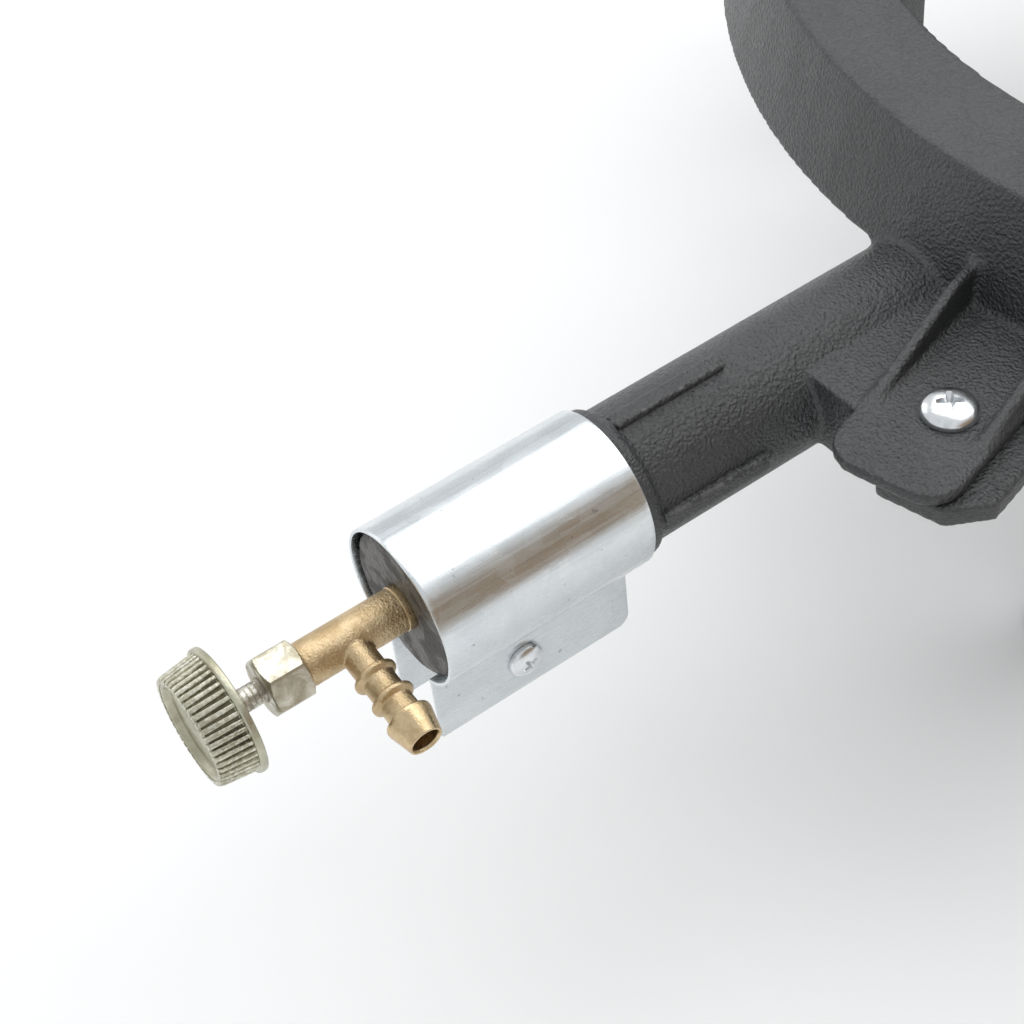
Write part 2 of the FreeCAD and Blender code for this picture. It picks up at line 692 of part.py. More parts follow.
def ridge_corners(middle):
    half = "size.tail_ridge_length / 2"
    land = "size.tail_ridge_length / 6"
    return [
        ("size.tail_stem", f"size.{middle} - {half}"),
        ("size.tail_ridge", f"size.{middle} - {land}"),
        ("size.tail_ridge", f"size.{middle} + {land}"),
        ("size.tail_stem", f"size.{middle} + {half}"),
    ]


def valve_body():
    """Brass body along the stations, with the hose tail to +X, tilted a little downwards."""
    barrel = turned_body("valve_barrel", [
        ("0", "-size.spigot_length"),
        ("size.spigot_radius", "-size.spigot_length"),
        ("size.spigot_radius", "-size.disc_recess"),
        ("size.ring_radius", "-size.disc_recess"),
        ("size.ring_radius", "size.ring_length - size.disc_recess"),
        ("size.valve_radius", "size.ring_length - size.disc_recess"),
        ("size.valve_radius", "size.valve_length"),
        (GLAND_THREAD, "size.valve_length"),
        (GLAND_THREAD, "size.valve_length + size.gland_thread_length"),
        ("0", "size.valve_length + size.gland_thread_length"),
    ])
    tilt = FreeCAD.Rotation(Z_AXIS, -SIZES["tail_tilt"]).multiply(RIGHTWARD)
    tail = turned_body("hose_tail", [("0", "0"), ("size.tail_stem", "0")]
                       + ridge_corners("tail_ridge_one") + ridge_corners("tail_ridge_two")
                       + [
        ("size.tail_stem", "size.tail_cone_start"),
        ("size.tail_cone", "size.tail_cone_start"),
        ("size.tail_cone", "size.tail_cone_start + size.tail_land"),
        ("size.tail_mouth", "size.tail_length"),
        ("0", "size.tail_length"),
    ])
    tail.Placement = FreeCAD.Placement(FreeCAD.Vector(), tilt)
    tail.setExpression("Placement.Base.z", "size.tail_station")
    tail_bore = cylinder("tail_passage", "size.tail_bore", "2 * size.tail_length",
                         ("0", "0", "size.tail_station"), tilt)
    passages = [
        tail_bore,
        cylinder("valve_chamber", CHAMBER_RADIUS, "size.valve_length",
                 ("0", "0", "size.chamber_start")),
        cylinder("packing_pocket_cut", PACKING_POCKET, "2 * size.packing_depth",
                 ("0", "0",
                  "size.valve_length + size.gland_thread_length - size.packing_depth")),
        cylinder("valve_orifice", "size.seat_hole", "2 * size.valve_length",
                 ("0", "0", "-size.valve_length")),
        cylinder("jet_thread_cut", "size.jet_socket", "size.jet_socket_depth * 2",
                 ("0", "0", "-size.spigot_length - size.jet_socket_depth")),
    ]
    whole = cut("valve_whole", fuse("valve_solid", [barrel, tail]), passages)
    settle(whole, "valve_body", ("0", FRONT_Y, "size.tube_height"), FORWARD)


def gas_jet():
    """The brass jet screwed into the valve's inner end, facing down the mixing tube."""
    start = "size.spigot_length - size.jet_socket_depth + size.thread_clearance"
    thread = "size.jet_socket - size.thread_clearance"
    body = turned_body("jet_body", [
        ("size.jet_hole", f"-({start})"),
        (thread, f"-({start})"),
        (thread, "-size.spigot_length - size.thread_clearance"),
        ("size.jet_head", "-size.spigot_length - size.thread_clearance"),
        ("size.jet_head", "-size.spigot_length - size.jet_head_length"),
        ("2 * size.jet_hole", f"-({start}) - size.jet_length"),
        ("size.jet_hole", f"-({start}) - size.jet_length"),
    ])
    settle(body, "gas_jet", ("0", FRONT_Y, "size.tube_height"), FORWARD)


def spindle():
    """The needle spindle: a cone that closes the orifice and a plain stem up to the knob."""
    tip = "size.chamber_start - size.needle_length * 0.2"
    hole = "size.spindle_end - size.knob_screw_length"
    body = turned_body("spindle_body", [
        ("0", tip),
        ("size.needle_tip", tip),
        ("size.seat_hole - size.running_clearance", "size.chamber_start"),
        ("size.spindle_radius", "size.chamber_start + size.needle_length * 0.8"),
        ("size.spindle_radius", "size.spindle_end"),
        ("size.knob_screw_thread + size.thread_clearance", "size.spindle_end"),
        ("size.knob_screw_thread + size.thread_clearance", hole),
        ("0", hole),
    ])
    settle(body, "valve_spindle", ("0", FRONT_Y, "size.tube_height"), FORWARD)


def gland():
    """The packing, its washer, and the hexagonal gland nut that squeezes them."""
    pocket_end = "size.valve_length + size.gland_thread_length"
    floor = f"{pocket_end} - size.packing_depth"
    hole = "size.spindle_radius + size.running_clearance"
    fit = f"{PACKING_POCKET} - size.thread_clearance"
    packing = washer("packing", fit, "size.packing_thick", hole)
    settle(packing, "gland_packing",
           ("0", f"{FRONT_Y} - ({floor})", "size.tube_height"), FORWARD)
    ring = washer("packing_ring", fit, "size.packing_washer_thick", hole)
    settle(ring, "packing_washer",
           ("0", f"{FRONT_Y} - ({floor} + size.packing_thick)", "size.tube_height"), FORWARD)
    corner = "size.nut_flats / 2 / cos(30 deg)"
    blank = common("gland_blank", hexagon("gland_hexagon", "size.nut_flats", "size.nut_length"),
                   turned_body("gland_chamfers", [
                       ("0", "0"),
                       (f"{corner} - size.nut_chamfer", "0"),
                       (corner, "size.nut_chamfer / 2"),
                       (corner, "size.nut_length - size.nut_chamfer"),
                       ("size.nut_flats / 2 - size.nut_chamfer / 2", "size.nut_length"),
                       ("0", "size.nut_length"),
                   ]))
    thread = cylinder("gland_thread_cut", f"{GLAND_THREAD} + size.thread_clearance",
                      "2 * size.gland_thread_length", ("0", "0", "-size.gland_thread_length"))
    through = cylinder("gland_hole", hole, "3 * size.nut_length",
                       ("0", "0", "-size.nut_length"))
    nut = cut("gland_nut_part", blank, [thread, through])
    settle(nut, "gland_nut", ("0", f"{FRONT_Y} - size.valve_length", "size.tube_height"),
           FORWARD)


def control_knob():
    """The flanged knob: fluted tapered rim, dished face and a hub on the spindle."""
    face = "size.knob_flange_thick + size.knob_rim_length"
    hub_hole = "size.spindle_radius + size.running_clearance"
    hub_end = "size.spindle_end - size.knob_back"
    blank = turned_body("knob_blank", [
        (hub_hole, "0"),
        ("size.knob_flange", "0"),
        ("size.knob_flange", "size.knob_flange_thick"),
        ("size.knob_root", "size.knob_flange_thick"),
        ("size.knob_face", face),
        ("size.knob_face - size.knob_wall", face),
        ("size.knob_face - size.knob_wall", f"{face} - size.knob_dish"),
        (KNOB_HUB, hub_end),
        (hub_hole, hub_end),
    ])
    flutes = []
    for number in range(FLUTE_COUNT):
        turn = number * 360 / FLUTE_COUNT
        angle = f"({turn} * 1 deg)"
        width = f"size.knob_face * {2 * math.pi / FLUTE_COUNT} * 0.45"
        along = (f"(size.knob_face - size.flute_depth) * cos{angle}"
                 f" + {width} / 2 * sin{angle}")
        across = (f"(size.knob_face - size.flute_depth) * sin{angle}"
                  f" - {width} / 2 * cos{angle}")
        flutes.append(box(f"flute_{number}", "size.knob_root - size.knob_face + 2", width,
                          "size.knob_rim_length * 2",
                          (along, across, "size.knob_flange_thick"),
                          FreeCAD.Rotation(Z_AXIS, turn)))
    knob = cut("knob_fluted", blank, flutes)
    settle(knob, "control_knob", ("0", f"{FRONT_Y} - size.knob_back", "size.tube_height"),
           FORWARD)
    screw = pan_screw("knob_fix", KNOB_SCREW_HEAD, "size.knob_screw_rise",
                      "size.knob_screw_thread", "size.knob_screw_length - size.hole_clearance")
    settle(screw, "knob_screw", ("0", f"{FRONT_Y} - size.spindle_end", "size.tube_height"),
           FORWARD)


finished = []
stove_frame()
burner_cap()
cap_screw()
for index in range(LEG_COUNT):
    leg(index * 90, index + 1)
    leg_fasteners(index * 90, index + 1)
air_shutter()
clamp_fasteners()
valve_body()
gas_jet()
spindle()
gland()
control_knob()
doc.recompute()

for item in doc.Objects:
    if "Invalid" in item.State or "Error" in item.State:
        raise RuntimeError(f"{item.Name} failed: {item.State}")
for piece in finished:
    if piece.Shape.isNull() or not piece.Shape.isValid():
        raise RuntimeError(f"{piece.Label} has no valid shape")

os.makedirs("parts", exist_ok=True)
for piece in finished:
    piece.Shape.exportStep(os.path.join("parts", piece.Label + ".step"))
    span = piece.Shape.BoundBox
    print(f"{piece.Label}: {len(piece.Shape.Solids)} solid, volume {piece.Shape.Volume:.0f},"
          f" x {span.XMin:.1f}..{span.XMax:.1f}, y {span.YMin:.1f}..{span.YMax:.1f},"
          f" z {span.ZMin:.1f}..{span.ZMax:.1f}")
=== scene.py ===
import math

import bmesh
import bpy
from mathutils import Matrix, Vector


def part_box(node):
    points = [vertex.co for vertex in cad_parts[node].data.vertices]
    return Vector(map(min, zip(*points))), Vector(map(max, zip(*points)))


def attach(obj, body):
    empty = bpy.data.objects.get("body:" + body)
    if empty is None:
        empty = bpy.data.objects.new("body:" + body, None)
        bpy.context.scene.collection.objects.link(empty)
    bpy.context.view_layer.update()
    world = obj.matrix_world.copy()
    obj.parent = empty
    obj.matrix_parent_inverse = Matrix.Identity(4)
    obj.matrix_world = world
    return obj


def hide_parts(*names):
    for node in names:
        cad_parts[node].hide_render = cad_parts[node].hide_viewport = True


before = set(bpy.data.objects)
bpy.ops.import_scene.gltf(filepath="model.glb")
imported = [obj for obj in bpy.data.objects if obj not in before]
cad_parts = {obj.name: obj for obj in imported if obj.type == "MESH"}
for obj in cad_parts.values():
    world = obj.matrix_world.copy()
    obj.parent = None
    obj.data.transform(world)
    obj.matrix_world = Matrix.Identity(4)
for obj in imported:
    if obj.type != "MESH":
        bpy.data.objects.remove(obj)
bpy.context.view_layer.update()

# Cast-iron gas ring stove. Sizes are in millimetres in the CAD's own axes (Z up, the mixing tube
# along Y with the knob towards -Y) and are turned into metres when a mesh is made. Lengths of
# the valve, spindle and knob count from the sleeve's front rim towards the knob; those of the
# ears, the clamp and the guides count from the same rim towards the burner.
MM = 0.001
SLEEVE_LOW, SLEEVE_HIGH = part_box("air_shutter")
SLEEVE_RADIUS = 17.0
FRONT = SLEEVE_LOW.y / MM
AXIS_Z = SLEEVE_HIGH.z / MM - SLEEVE_RADIUS
LEGS = range(1, 5)

SHEET = 0.7
EAR_X = 6.5
EAR_START = 0.3
EAR_END = 47.0
EAR_FRONT_CORNER = 0.8
EAR_BACK_CORNER = 3.0
EAR_BEND = 1.0
CLAMP_BACK = 21.4
CLAMP_Z = -25.2

VALVE_RADIUS = 4.6
VALVE_END = 22.0
RING_RADIUS = 4.75
RING_WALL = 1.2
RING_START = -1.6
RING_END = 0.55
TAIL_STATION = 11.8
TAIL_TILT = math.radians(10)
TAIL_LENGTH = 26.4
TAIL_STEM = 3.35
TAIL_BORE = 2.8
TAIL_RIDGE = 4.45
TAIL_RIDGES = (9.9, 15.6)
TIP_RADIUS = 4.75
SPINDLE_RADIUS = 2.4
SPINDLE_START = 8.6
SPINDLE_END = 43.0
GROOVES = 4
GROOVE_START = 31.2
GROOVE_PITCH = 1.1
GROOVE_DEPTH = 0.1
GLAND_FLATS = 11.5
GLAND_LENGTH = 8.3
GLAND_TURN = math.radians(7)

KNOB_BACK = 36.8
KNOB_FLANGE = 13.0
KNOB_FLANGE_THICK = 1.6
KNOB_ROOT = 12.3
KNOB_FACE = 11.4
KNOB_RIM = 7.4
KNOB_WEB = 9.4
KNOB_SCREW = 2.6
FLUTES = 48

GUIDE_TOP = 16.15
GUIDE_THICK = 3.0
GUIDE_WIDTH = 4.0
GUIDE_LENGTH = 26.5
GUIDE_MIDDLE = 64.7

LEG_HEAD = 5.8
LEG_HEAD_RISE = 3.2
LEG_THREAD = 3.0
LEG_PITCH = 1.0
LEG_WASHER = 5.5
LEG_WASHER_THICK = 1.6
LEG_NUT_FLATS = 10.0
LEG_NUT_THICK = 5.0
CLAMP_HEAD = 4.0
CLAMP_HEAD_RISE = 2.2
CLAMP_THREAD = 2.0
CLAMP_PITCH = 0.7
CLAMP_TURN = 0.5
CLAMP_WASHER = 4.5
CLAMP_WASHER_THICK = 0.8
CLAMP_NUT_FLATS = 7.0
CLAMP_NUT_THICK = 3.2
WASHER_PLAY = 0.3

# Metres and watts: each lamp's name, place, width and depth, and power.
LAMPS = (("overhead", (-0.23, 0.45, 1.3), (2.0, 1.3), 13.5),
         ("left_side", (-1.5, -0.5, 0.7), (0.9, 0.9), 2.5))
LAMPS_FACE = (0, -0.1, 0.08)
WARM_WALL = (0.92, 0.36, 0.12)


# ---- node trees

def node(tree, kind, values=None, **settings):
    """A new node with its settings, and its inputs set to a value or joined to a socket."""
    made = tree.nodes.new(kind)
    for name, value in settings.items():
        setattr(made, name, value)
    for name, value in (values or {}).items():
        if isinstance(value, bpy.types.NodeSocket):
            tree.links.new(value, made.inputs[name])
        else:
            made.inputs[name].default_value = value
    return made


def sums(tree, operation, first, second):
    return node(tree, "ShaderNodeMath", {0: first, 1: second}, operation=operation).outputs[0]


def remap(tree, value, low, high, to_low=0.0, to_high=1.0):
    """A value between two limits, eased and carried to two others."""
    made = node(tree, "ShaderNodeMapRange",
                {"Value": value, "From Min": low, "From Max": high,
                 "To Min": to_low, "To Max": to_high}, interpolation_type="SMOOTHSTEP")
    return made.outputs["Result"]


def blend(tree, factor, first, second):
    """A colour between two others."""
    made = node(tree, "ShaderNodeMix", {0: factor, 6: first, 7: second}, data_type="RGBA")
    return made.outputs[2]


def tinted(tree, colour, mask, share, tint):
    """A colour carried part of the way to a tint where the mask is white."""
    return blend(tree, sums(tree, "MULTIPLY", mask, share), colour, tint)


def rgb(red, green, blue):
    return (red, green, blue, 1.0)


def shader_group(name, inputs, outputs):
    """An empty shader group, with its input and output nodes."""
    group = bpy.data.node_groups.new(name, "ShaderNodeTree")
    for word, value in inputs.items():
        socket = group.interface.new_socket(word, in_out="INPUT", socket_type="NodeSocketFloat")
        socket.default_value = value
    for word in outputs:
        group.interface.new_socket(word, in_out="OUTPUT", socket_type="NodeSocketFloat")
    return group, group.nodes.new("NodeGroupInput"), group.nodes.new("NodeGroupOutput")


def noise(tree, place, scale, detail, roughness, distortion=0.0):
    made = node(tree, "ShaderNodeTexNoise",
                {"Vector": place, "Scale": scale, "Detail": detail, "Roughness": roughness,
                 "Distortion": distortion})
    return made.outputs["Fac"]


def own_place(tree):
    return node(tree, "ShaderNodeTexCoord").outputs["Object"]


def cast_grain():
    """Sand-cast skin: round grains with finer grit on them, and a mask of small specks, which
    the cast iron paints as bright glints and other finishes as pits and stains.
    """
    group, given, result = shader_group(
        "cast grain", {"Grains per metre": 700.0, "Grit": 0.35}, ("Height", "Speck"))
    place = own_place(group)
    scale = given.outputs["Grains per metre"]
    cells = node(group, "ShaderNodeTexVoronoi", {"Vector": place, "Scale": scale},
                 feature="SMOOTH_F1").outputs["Distance"]
    lumps = remap(group, cells, 0.75, 0.1)
    soft = noise(group, place, sums(group, "MULTIPLY", scale, 0.8), 2.0, 0.5)
    grit = noise(group, place, sums(group, "MULTIPLY", scale, 3.1), 3.0, 0.7)
    body = sums(group, "ADD", sums(group, "MULTIPLY", lumps, 0.45),
                sums(group, "MULTIPLY", soft, 0.9))
    height = sums(group, "ADD", body, sums(group, "MULTIPLY", grit, given.outputs["Grit"]))
    group.links.new(height, result.inputs["Height"])
    speck = remap(group, noise(group, place, sums(group, "MULTIPLY", scale, 2.3), 1.0, 0.5),
                  0.6, 0.74)
    group.links.new(speck, result.inputs["Speck"])
    return group


def cloudy():
    """Slow changes of tone over a surface."""
    group, given, result = shader_group(
        "cloudy tone", {"Patches per metre": 30.0, "Edge": 0.12}, ("Tone",))
    place = own_place(group)
    wide = noise(group, place, given.outputs["Patches per metre"], 4.0, 0.6, 0.6)
    low = sums(group, "SUBTRACT", 0.5, given.outputs["Edge"])
    high = sums(group, "ADD", 0.5, given.outputs["Edge"])
    group.links.new(remap(group, wide, low, high), result.inputs["Tone"])
    return group


def edge_wear():
    """Where raised edges have lost their finish, broken up by grit; and the hollows, where
    materials paint shade.
    """
    group, given, result = shader_group(
        "edge wear", {"Start": 0.52, "Width": 0.06, "Grit per metre": 500.0}, ("Worn", "Hollow"))
    bend = node(group, "ShaderNodeNewGeometry").outputs["Pointiness"]
    end = sums(group, "ADD", given.outputs["Start"], given.outputs["Width"])
    raised = remap(group, bend, given.outputs["Start"], end)
    grit = noise(group, own_place(group), given.outputs["Grit per metre"], 4.0, 0.65)
    worn = sums(group, "MULTIPLY", raised, remap(group, grit, 0.45, 0.62))
    group.links.new(worn, result.inputs["Worn"])
    # Low pointiness: the hollows, a mask for painted shade.
    group.links.new(remap(group, bend, 0.49, 0.42), result.inputs["Hollow"])
    return group


def rolled_lines():
    """Mill lines that run along the tube, with fine scratches, spangle and small marks."""
    group, given, result = shader_group(
        "rolled lines", {"Lines per metre": 900.0, "Spangle per metre": 260.0},
        ("Line", "Scratch", "Spangle", "Mark"))
    place = own_place(group)
    drawn = node(group, "ShaderNodeMapping", {"Vector": place, "Scale": (1.0, 0.035, 1.0)})
    line = noise(group, drawn.outputs[0], given.outputs["Lines per metre"], 4.0, 0.6)
    group.links.new(line, result.inputs["Line"])
    tilted = node(group, "ShaderNodeMapping",
                  {"Vector": place, "Rotation": (0.3, 0.2, 0.6), "Scale": (1.0, 0.06, 1.0)})
    scratch = noise(group, tilted.outputs[0], sums(
        group, "MULTIPLY", given.outputs["Lines per metre"], 0.9), 2.0, 0.5)
    group.links.new(remap(group, scratch, 0.66, 0.72), result.inputs["Scratch"])
    cells = node(group, "ShaderNodeTexVoronoi",
                 {"Vector": place, "Scale": given.outputs["Spangle per metre"]})
    tint = node(group, "ShaderNodeSeparateColor", {0: cells.outputs["Color"]}).outputs[0]
    group.links.new(tint, result.inputs["Spangle"])
    mark = noise(group, place, 420.0, 2.0, 0.5)
    group.links.new(remap(group, mark, 0.7, 0.74), result.inputs["Mark"])
    return group


GROUPS = {make.__name__: make() for make in (cast_grain, cloudy, edge_wear, rolled_lines)}


def use(tree, name, **values):
    """A shared group in a material, with this material's own values."""
    made = tree.nodes.new("ShaderNodeGroup")
    made.node_tree = GROUPS[name]
    for word, value in values.items():
        made.inputs[word.replace("_", " ")].default_value = value
    return made.outputs


def toned(tree, patches, edge=0.12):
    """Slow changes of tone, with so many patches to the metre and edges this soft."""
    return use(tree, "cloudy", Patches_per_metre=patches, Edge=edge)["Tone"]


def new_material(name, **constants):
    """A material with its shader; keyword values go on the shader's own sockets."""
    material = bpy.data.materials.new(name)
    material.use_nodes = True
    tree = material.node_tree
    shader = tree.nodes["Principled BSDF"]
    for word, value in constants.items():
        shader.inputs[word.replace("_", " ")].default_value = value
    return material, tree, shader


def wire(tree, shader, colour, roughness, height=None, depth=0.1):
    """Joins the colour, roughness and bump of a finish to its shader; depth in millimetres."""
    tree.links.new(colour, shader.inputs["Base Color"])
    tree.links.new(roughness, shader.inputs["Roughness"])
    if height is not None:
        bump = node(tree, "ShaderNodeBump",
                    {"Height": height, "Distance": depth * MM, "Strength": 1.0})
        tree.links.new(bump.outputs[0], shader.inputs["Normal"])


def cast_iron(name, grains, depth, dark, light):
    """Black paint over sand-cast iron with painted glints on its grains, rubbed to bare grey on
    its raised edges.
    """
    material, tree, shader = new_material(name, Specular_IOR_Level=0.85)
    grain = use(tree, "cast_grain", Grains_per_metre=grains)
    tone = toned(tree, 26.0, 0.16)
    wear_and_shade = use(tree, "edge_wear", Start=0.54, Width=0.07, Grit_per_metre=650.0)
    paint = blend(tree, tone, rgb(*dark), rgb(*light))
    # Lighter grey specks: painted glints.
    glinted = tinted(tree, paint, grain["Speck"], 0.25, rgb(0.13, 0.135, 0.14))
    colour = tinted(tree, glinted, wear_and_shade["Worn"], 0.45, rgb(0.15, 0.15, 0.145))
    rough = remap(tree, grain["Height"], 0.4, 1.2, 0.5, 0.3)
    wire(tree, shader, colour, rough, grain["Height"], depth)
    return material


def scuffed_iron():
    """The tube's end face: grey iron showing through a thin coat, scratched and pitted."""
    material, tree, shader = new_material("scuffed iron", Specular_IOR_Level=0.5)
    grain = use(tree, "cast_grain", Grains_per_metre=900.0, Grit=0.6)
    tone = toned(tree, 160.0, 0.1)
    coat = blend(tree, tone, rgb(0.035, 0.031, 0.026), rgb(0.085, 0.078, 0.068))
    colour = blend(tree, grain["Speck"], coat, rgb(0.02, 0.019, 0.018))
    rough = remap(tree, tone, 0.0, 1.0, 0.6, 0.42)
    wire(tree, shader, colour, rough, grain["Height"], 0.25)
    return material


def zinc_sheet():
    """Bright galvanised sheet with mill lines, light spangle and small grey marks."""
    material, tree, shader = new_material("zinc sheet", Metallic=1.0)
    sheet = use(tree, "rolled_lines", Lines_per_metre=1100.0, Spangle_per_metre=300.0)
    tone = toned(tree, 70.0, 0.2)
    zinc = blend(tree, tone, rgb(0.63, 0.66, 0.675), rgb(0.72, 0.745, 0.755))
    spangled = tinted(tree, zinc, sheet["Spangle"], 0.22, rgb(0.62, 0.67, 0.71))
    colour = tinted(tree, spangled, sheet["Mark"], 0.6, rgb(0.3, 0.32, 0.33))
    lines = remap(tree, sheet["Line"], 0.3, 0.7, 0.17, 0.3)
    rough = sums(tree, "ADD", lines, sums(tree, "MULTIPLY", sheet["Spangle"], 0.07))
    height = sums(tree, "ADD", sheet["Line"], sums(tree, "MULTIPLY", sheet["Scratch"], 0.5))
    wire(tree, shader, colour, rough, height, 0.004)
    return material


def zinc_steel():
    """Bright zinc plate on screws, washers and nuts, with painted shade in its hollows."""
    material, tree, shader = new_material("zinc steel", Metallic=1.0)
    tone = toned(tree, 420.0, 0.2)
    wear_and_shade = use(tree, "edge_wear", Start=0.53, Width=0.1, Grit_per_metre=1500.0)
    plate = blend(tree, tone, rgb(0.66, 0.68, 0.7), rgb(0.8, 0.81, 0.82))
    # Darker grey in the hollows: painted shade.
    colour = tinted(tree, plate, wear_and_shade["Hollow"], 0.6, rgb(0.24, 0.25, 0.26))
    rough = remap(tree, tone, 0.0, 1.0, 0.26, 0.16)
    fine = use(tree, "cast_grain", Grains_per_metre=2600.0)["Height"]
    wire(tree, shader, colour, rough, fine, 0.01)
    return material


def blasted_brass():
    """Bead-blasted cast brass: fine dimples, a few brown pits and painted shade in its hollows.
    """
    material, tree, shader = new_material("blasted brass", Metallic=1.0)
    grain = use(tree, "cast_grain", Grains_per_metre=2300.0, Grit=0.5)
    tone = toned(tree, 240.0, 0.2)
    wear_and_shade = use(tree, "edge_wear", Start=0.53, Width=0.08, Grit_per_metre=1800.0)
    brass = blend(tree, tone, rgb(0.46, 0.335, 0.185), rgb(0.64, 0.5, 0.31))
    pitted = tinted(tree, brass, grain["Speck"], 0.35, rgb(0.3, 0.18, 0.08))
    # Dark brown in the hollows: painted shade.
    shaded = tinted(tree, pitted, wear_and_shade["Hollow"], 0.7, rgb(0.32, 0.2, 0.09))
    colour = blend(tree, wear_and_shade["Worn"], shaded, rgb(0.88, 0.72, 0.46))
    rough = remap(tree, grain["Height"], 0.4, 1.3, 0.5, 0.32)
    wire(tree, shader, colour, rough, grain["Height"], 0.09)
    return material


def turned_brass():
    """Brass fresh from the lathe, on the hose tail's tip and the seat ring."""
    material, tree, shader = new_material("turned brass", Metallic=1.0)
    tone = toned(tree, 500.0, 0.22)
    fine = use(tree, "cast_grain", Grains_per_metre=3400.0)
    brass = blend(tree, tone, rgb(0.52, 0.385, 0.215), rgb(0.68, 0.53, 0.33))
    colour = tinted(tree, brass, fine["Speck"], 0.3, rgb(0.4, 0.25, 0.11))
    rough = remap(tree, tone, 0.0, 1.0, 0.34, 0.22)
    wire(tree, shader, colour, rough, fine["Height"], 0.03)
    return material


def dull_nickel():
    """Nickel plate on the gland nut, yellowed and stained, bright on its corners."""
    material, tree, shader = new_material("dull nickel", Metallic=1.0)
    tone = toned(tree, 230.0, 0.16)
    grain = use(tree, "cast_grain", Grains_per_metre=1900.0, Grit=0.5)
    wear_and_shade = use(tree, "edge_wear", Start=0.54, Width=0.1, Grit_per_metre=2000.0)
    plate = blend(tree, tone, rgb(0.4, 0.365, 0.27), rgb(0.66, 0.64, 0.55))
    stained = tinted(tree, plate, grain["Speck"], 0.4, rgb(0.36, 0.27, 0.15))
    colour = blend(tree, wear_and_shade["Worn"], stained, rgb(0.85, 0.83, 0.75))
    rough = remap(tree, tone, 0.0, 1.0, 0.44, 0.3)
    wire(tree, shader, colour, rough, grain["Height"], 0.035)
    return material


def stem_steel():
    """The spindle: grey turned steel with dull zinc spots."""
    material, tree, shader = new_material("stem steel", Metallic=1.0)
    tone = toned(tree, 520.0, 0.14)
    grain = use(tree, "cast_grain", Grains_per_metre=2100.0, Grit=0.6)
    steel = blend(tree, tone, rgb(0.36, 0.33, 0.27), rgb(0.68, 0.66, 0.6))
    colour = tinted(tree, steel, grain["Speck"], 0.5, rgb(0.16, 0.13, 0.09))
    rough = remap(tree, tone, 0.0, 1.0, 0.5, 0.32)
    wire(tree, shader, colour, rough, grain["Height"], 0.05)
    return material


def yellow_zinc(name, depth):
    """Pale yellow passivated zinc on the cast knob, with painted shade in its hollows."""
    material, tree, shader = new_material(name, Metallic=1.0)
    tone = toned(tree, 150.0, 0.2)
    grain = use(tree, "cast_grain", Grains_per_metre=1500.0, Grit=0.5)
    wear_and_shade = use(tree, "edge_wear", Start=0.53, Width=0.1, Grit_per_metre=1300.0)
    plate = blend(tree, tone, rgb(0.38, 0.36, 0.26), rgb(0.54, 0.53, 0.42))
    # Dark olive in the hollows: painted shade.
    hollow_shaded = tinted(tree, plate, wear_and_shade["Hollow"], 0.75, rgb(0.17, 0.15, 0.08))
    colour = tinted(tree, hollow_shaded, wear_and_shade["Worn"], 0.8, rgb(0.86, 0.85, 0.76))
    rough = remap(tree, grain["Height"], 0.4, 1.3, 0.46, 0.28)
    wire(tree, shader, colour, rough, grain["Height"], depth)
    return material


def groove_dirt():
    """Painted shade: a near-black finish in the grooves between the knob's lands."""
    material, tree, shader = new_material("groove dirt", Metallic=0.3)
    tone = toned(tree, 420.0, 0.2)
    grain = use(tree, "cast_grain", Grains_per_metre=1900.0, Grit=0.6)
    colour = blend(tree, tone, rgb(0.06, 0.052, 0.028), rgb(0.15, 0.135, 0.08))
    wire(tree, shader, colour, remap(tree, tone, 0.0, 1.0, 0.7, 0.5), grain["Height"], 0.06)
    return material


def graphite_packing():
    material, tree, shader = new_material("graphite packing")
    grain = use(tree, "cast_grain", Grains_per_metre=1800.0, Grit=0.8)
    tone = toned(tree, 300.0)
    colour = blend(tree, tone, rgb(0.03, 0.03, 0.032), rgb(0.08, 0.08, 0.085))
    wire(tree, shader, colour, remap(tree, tone, 0.0, 1.0, 0.8, 0.6), grain["Height"], 0.1)
    return material


def pale_floor():
    material, tree, shader = new_material("pale floor", Specular_IOR_Level=0.2)
    tone = toned(tree, 3.0, 0.3)
    colour = blend(tree, tone, rgb(0.9, 0.9, 0.9), rgb(0.92, 0.92, 0.92))
    wire(tree, shader, colour, remap(tree, tone, 0.0, 1.0, 0.8, 0.7))
    return material


FINISH = {
    "cast": cast_iron("black cast iron", 1500.0, 0.36, (0.009, 0.0098, 0.0105),
                      (0.021, 0.0225, 0.0235)),
    "burner": cast_iron("burner cast iron", 1300.0, 0.28, (0.017, 0.016, 0.015),
                        (0.036, 0.033, 0.031)),
    "disc": scuffed_iron(),
    "sheet": zinc_sheet(),
    "plated": zinc_steel(),
    "brass": blasted_brass(),
    "turned": turned_brass(),
    "nickel": dull_nickel(),
    "stem": stem_steel(),
    "knob": yellow_zinc("yellow zinc", 0.05),
    "knob_face": yellow_zinc("rough yellow zinc", 0.3),
    "groove": groove_dirt(),
    "packing": graphite_packing(),
    "floor": pale_floor(),
}


# ---- mesh helpers

def link_mesh(name, mesh):
    made = bpy.data.objects.new(name, mesh)
    bpy.context.scene.collection.objects.link(made)
    return made


def from_bmesh(name, work, finish, crease=35):
    """A linked object from a bmesh in millimetres: merged, outward, smooth below the crease."""
    bmesh.ops.remove_doubles(work, verts=work.verts, dist=1e-4)
    bmesh.ops.recalc_face_normals(work, faces=work.faces)
    work.transform(Matrix.Scale(MM, 4))
    mesh = bpy.data.meshes.new(name)
    work.to_mesh(mesh)
    work.free()
    mesh.materials.append(finish)
    shade(mesh, crease)
    return link_mesh(name, mesh)


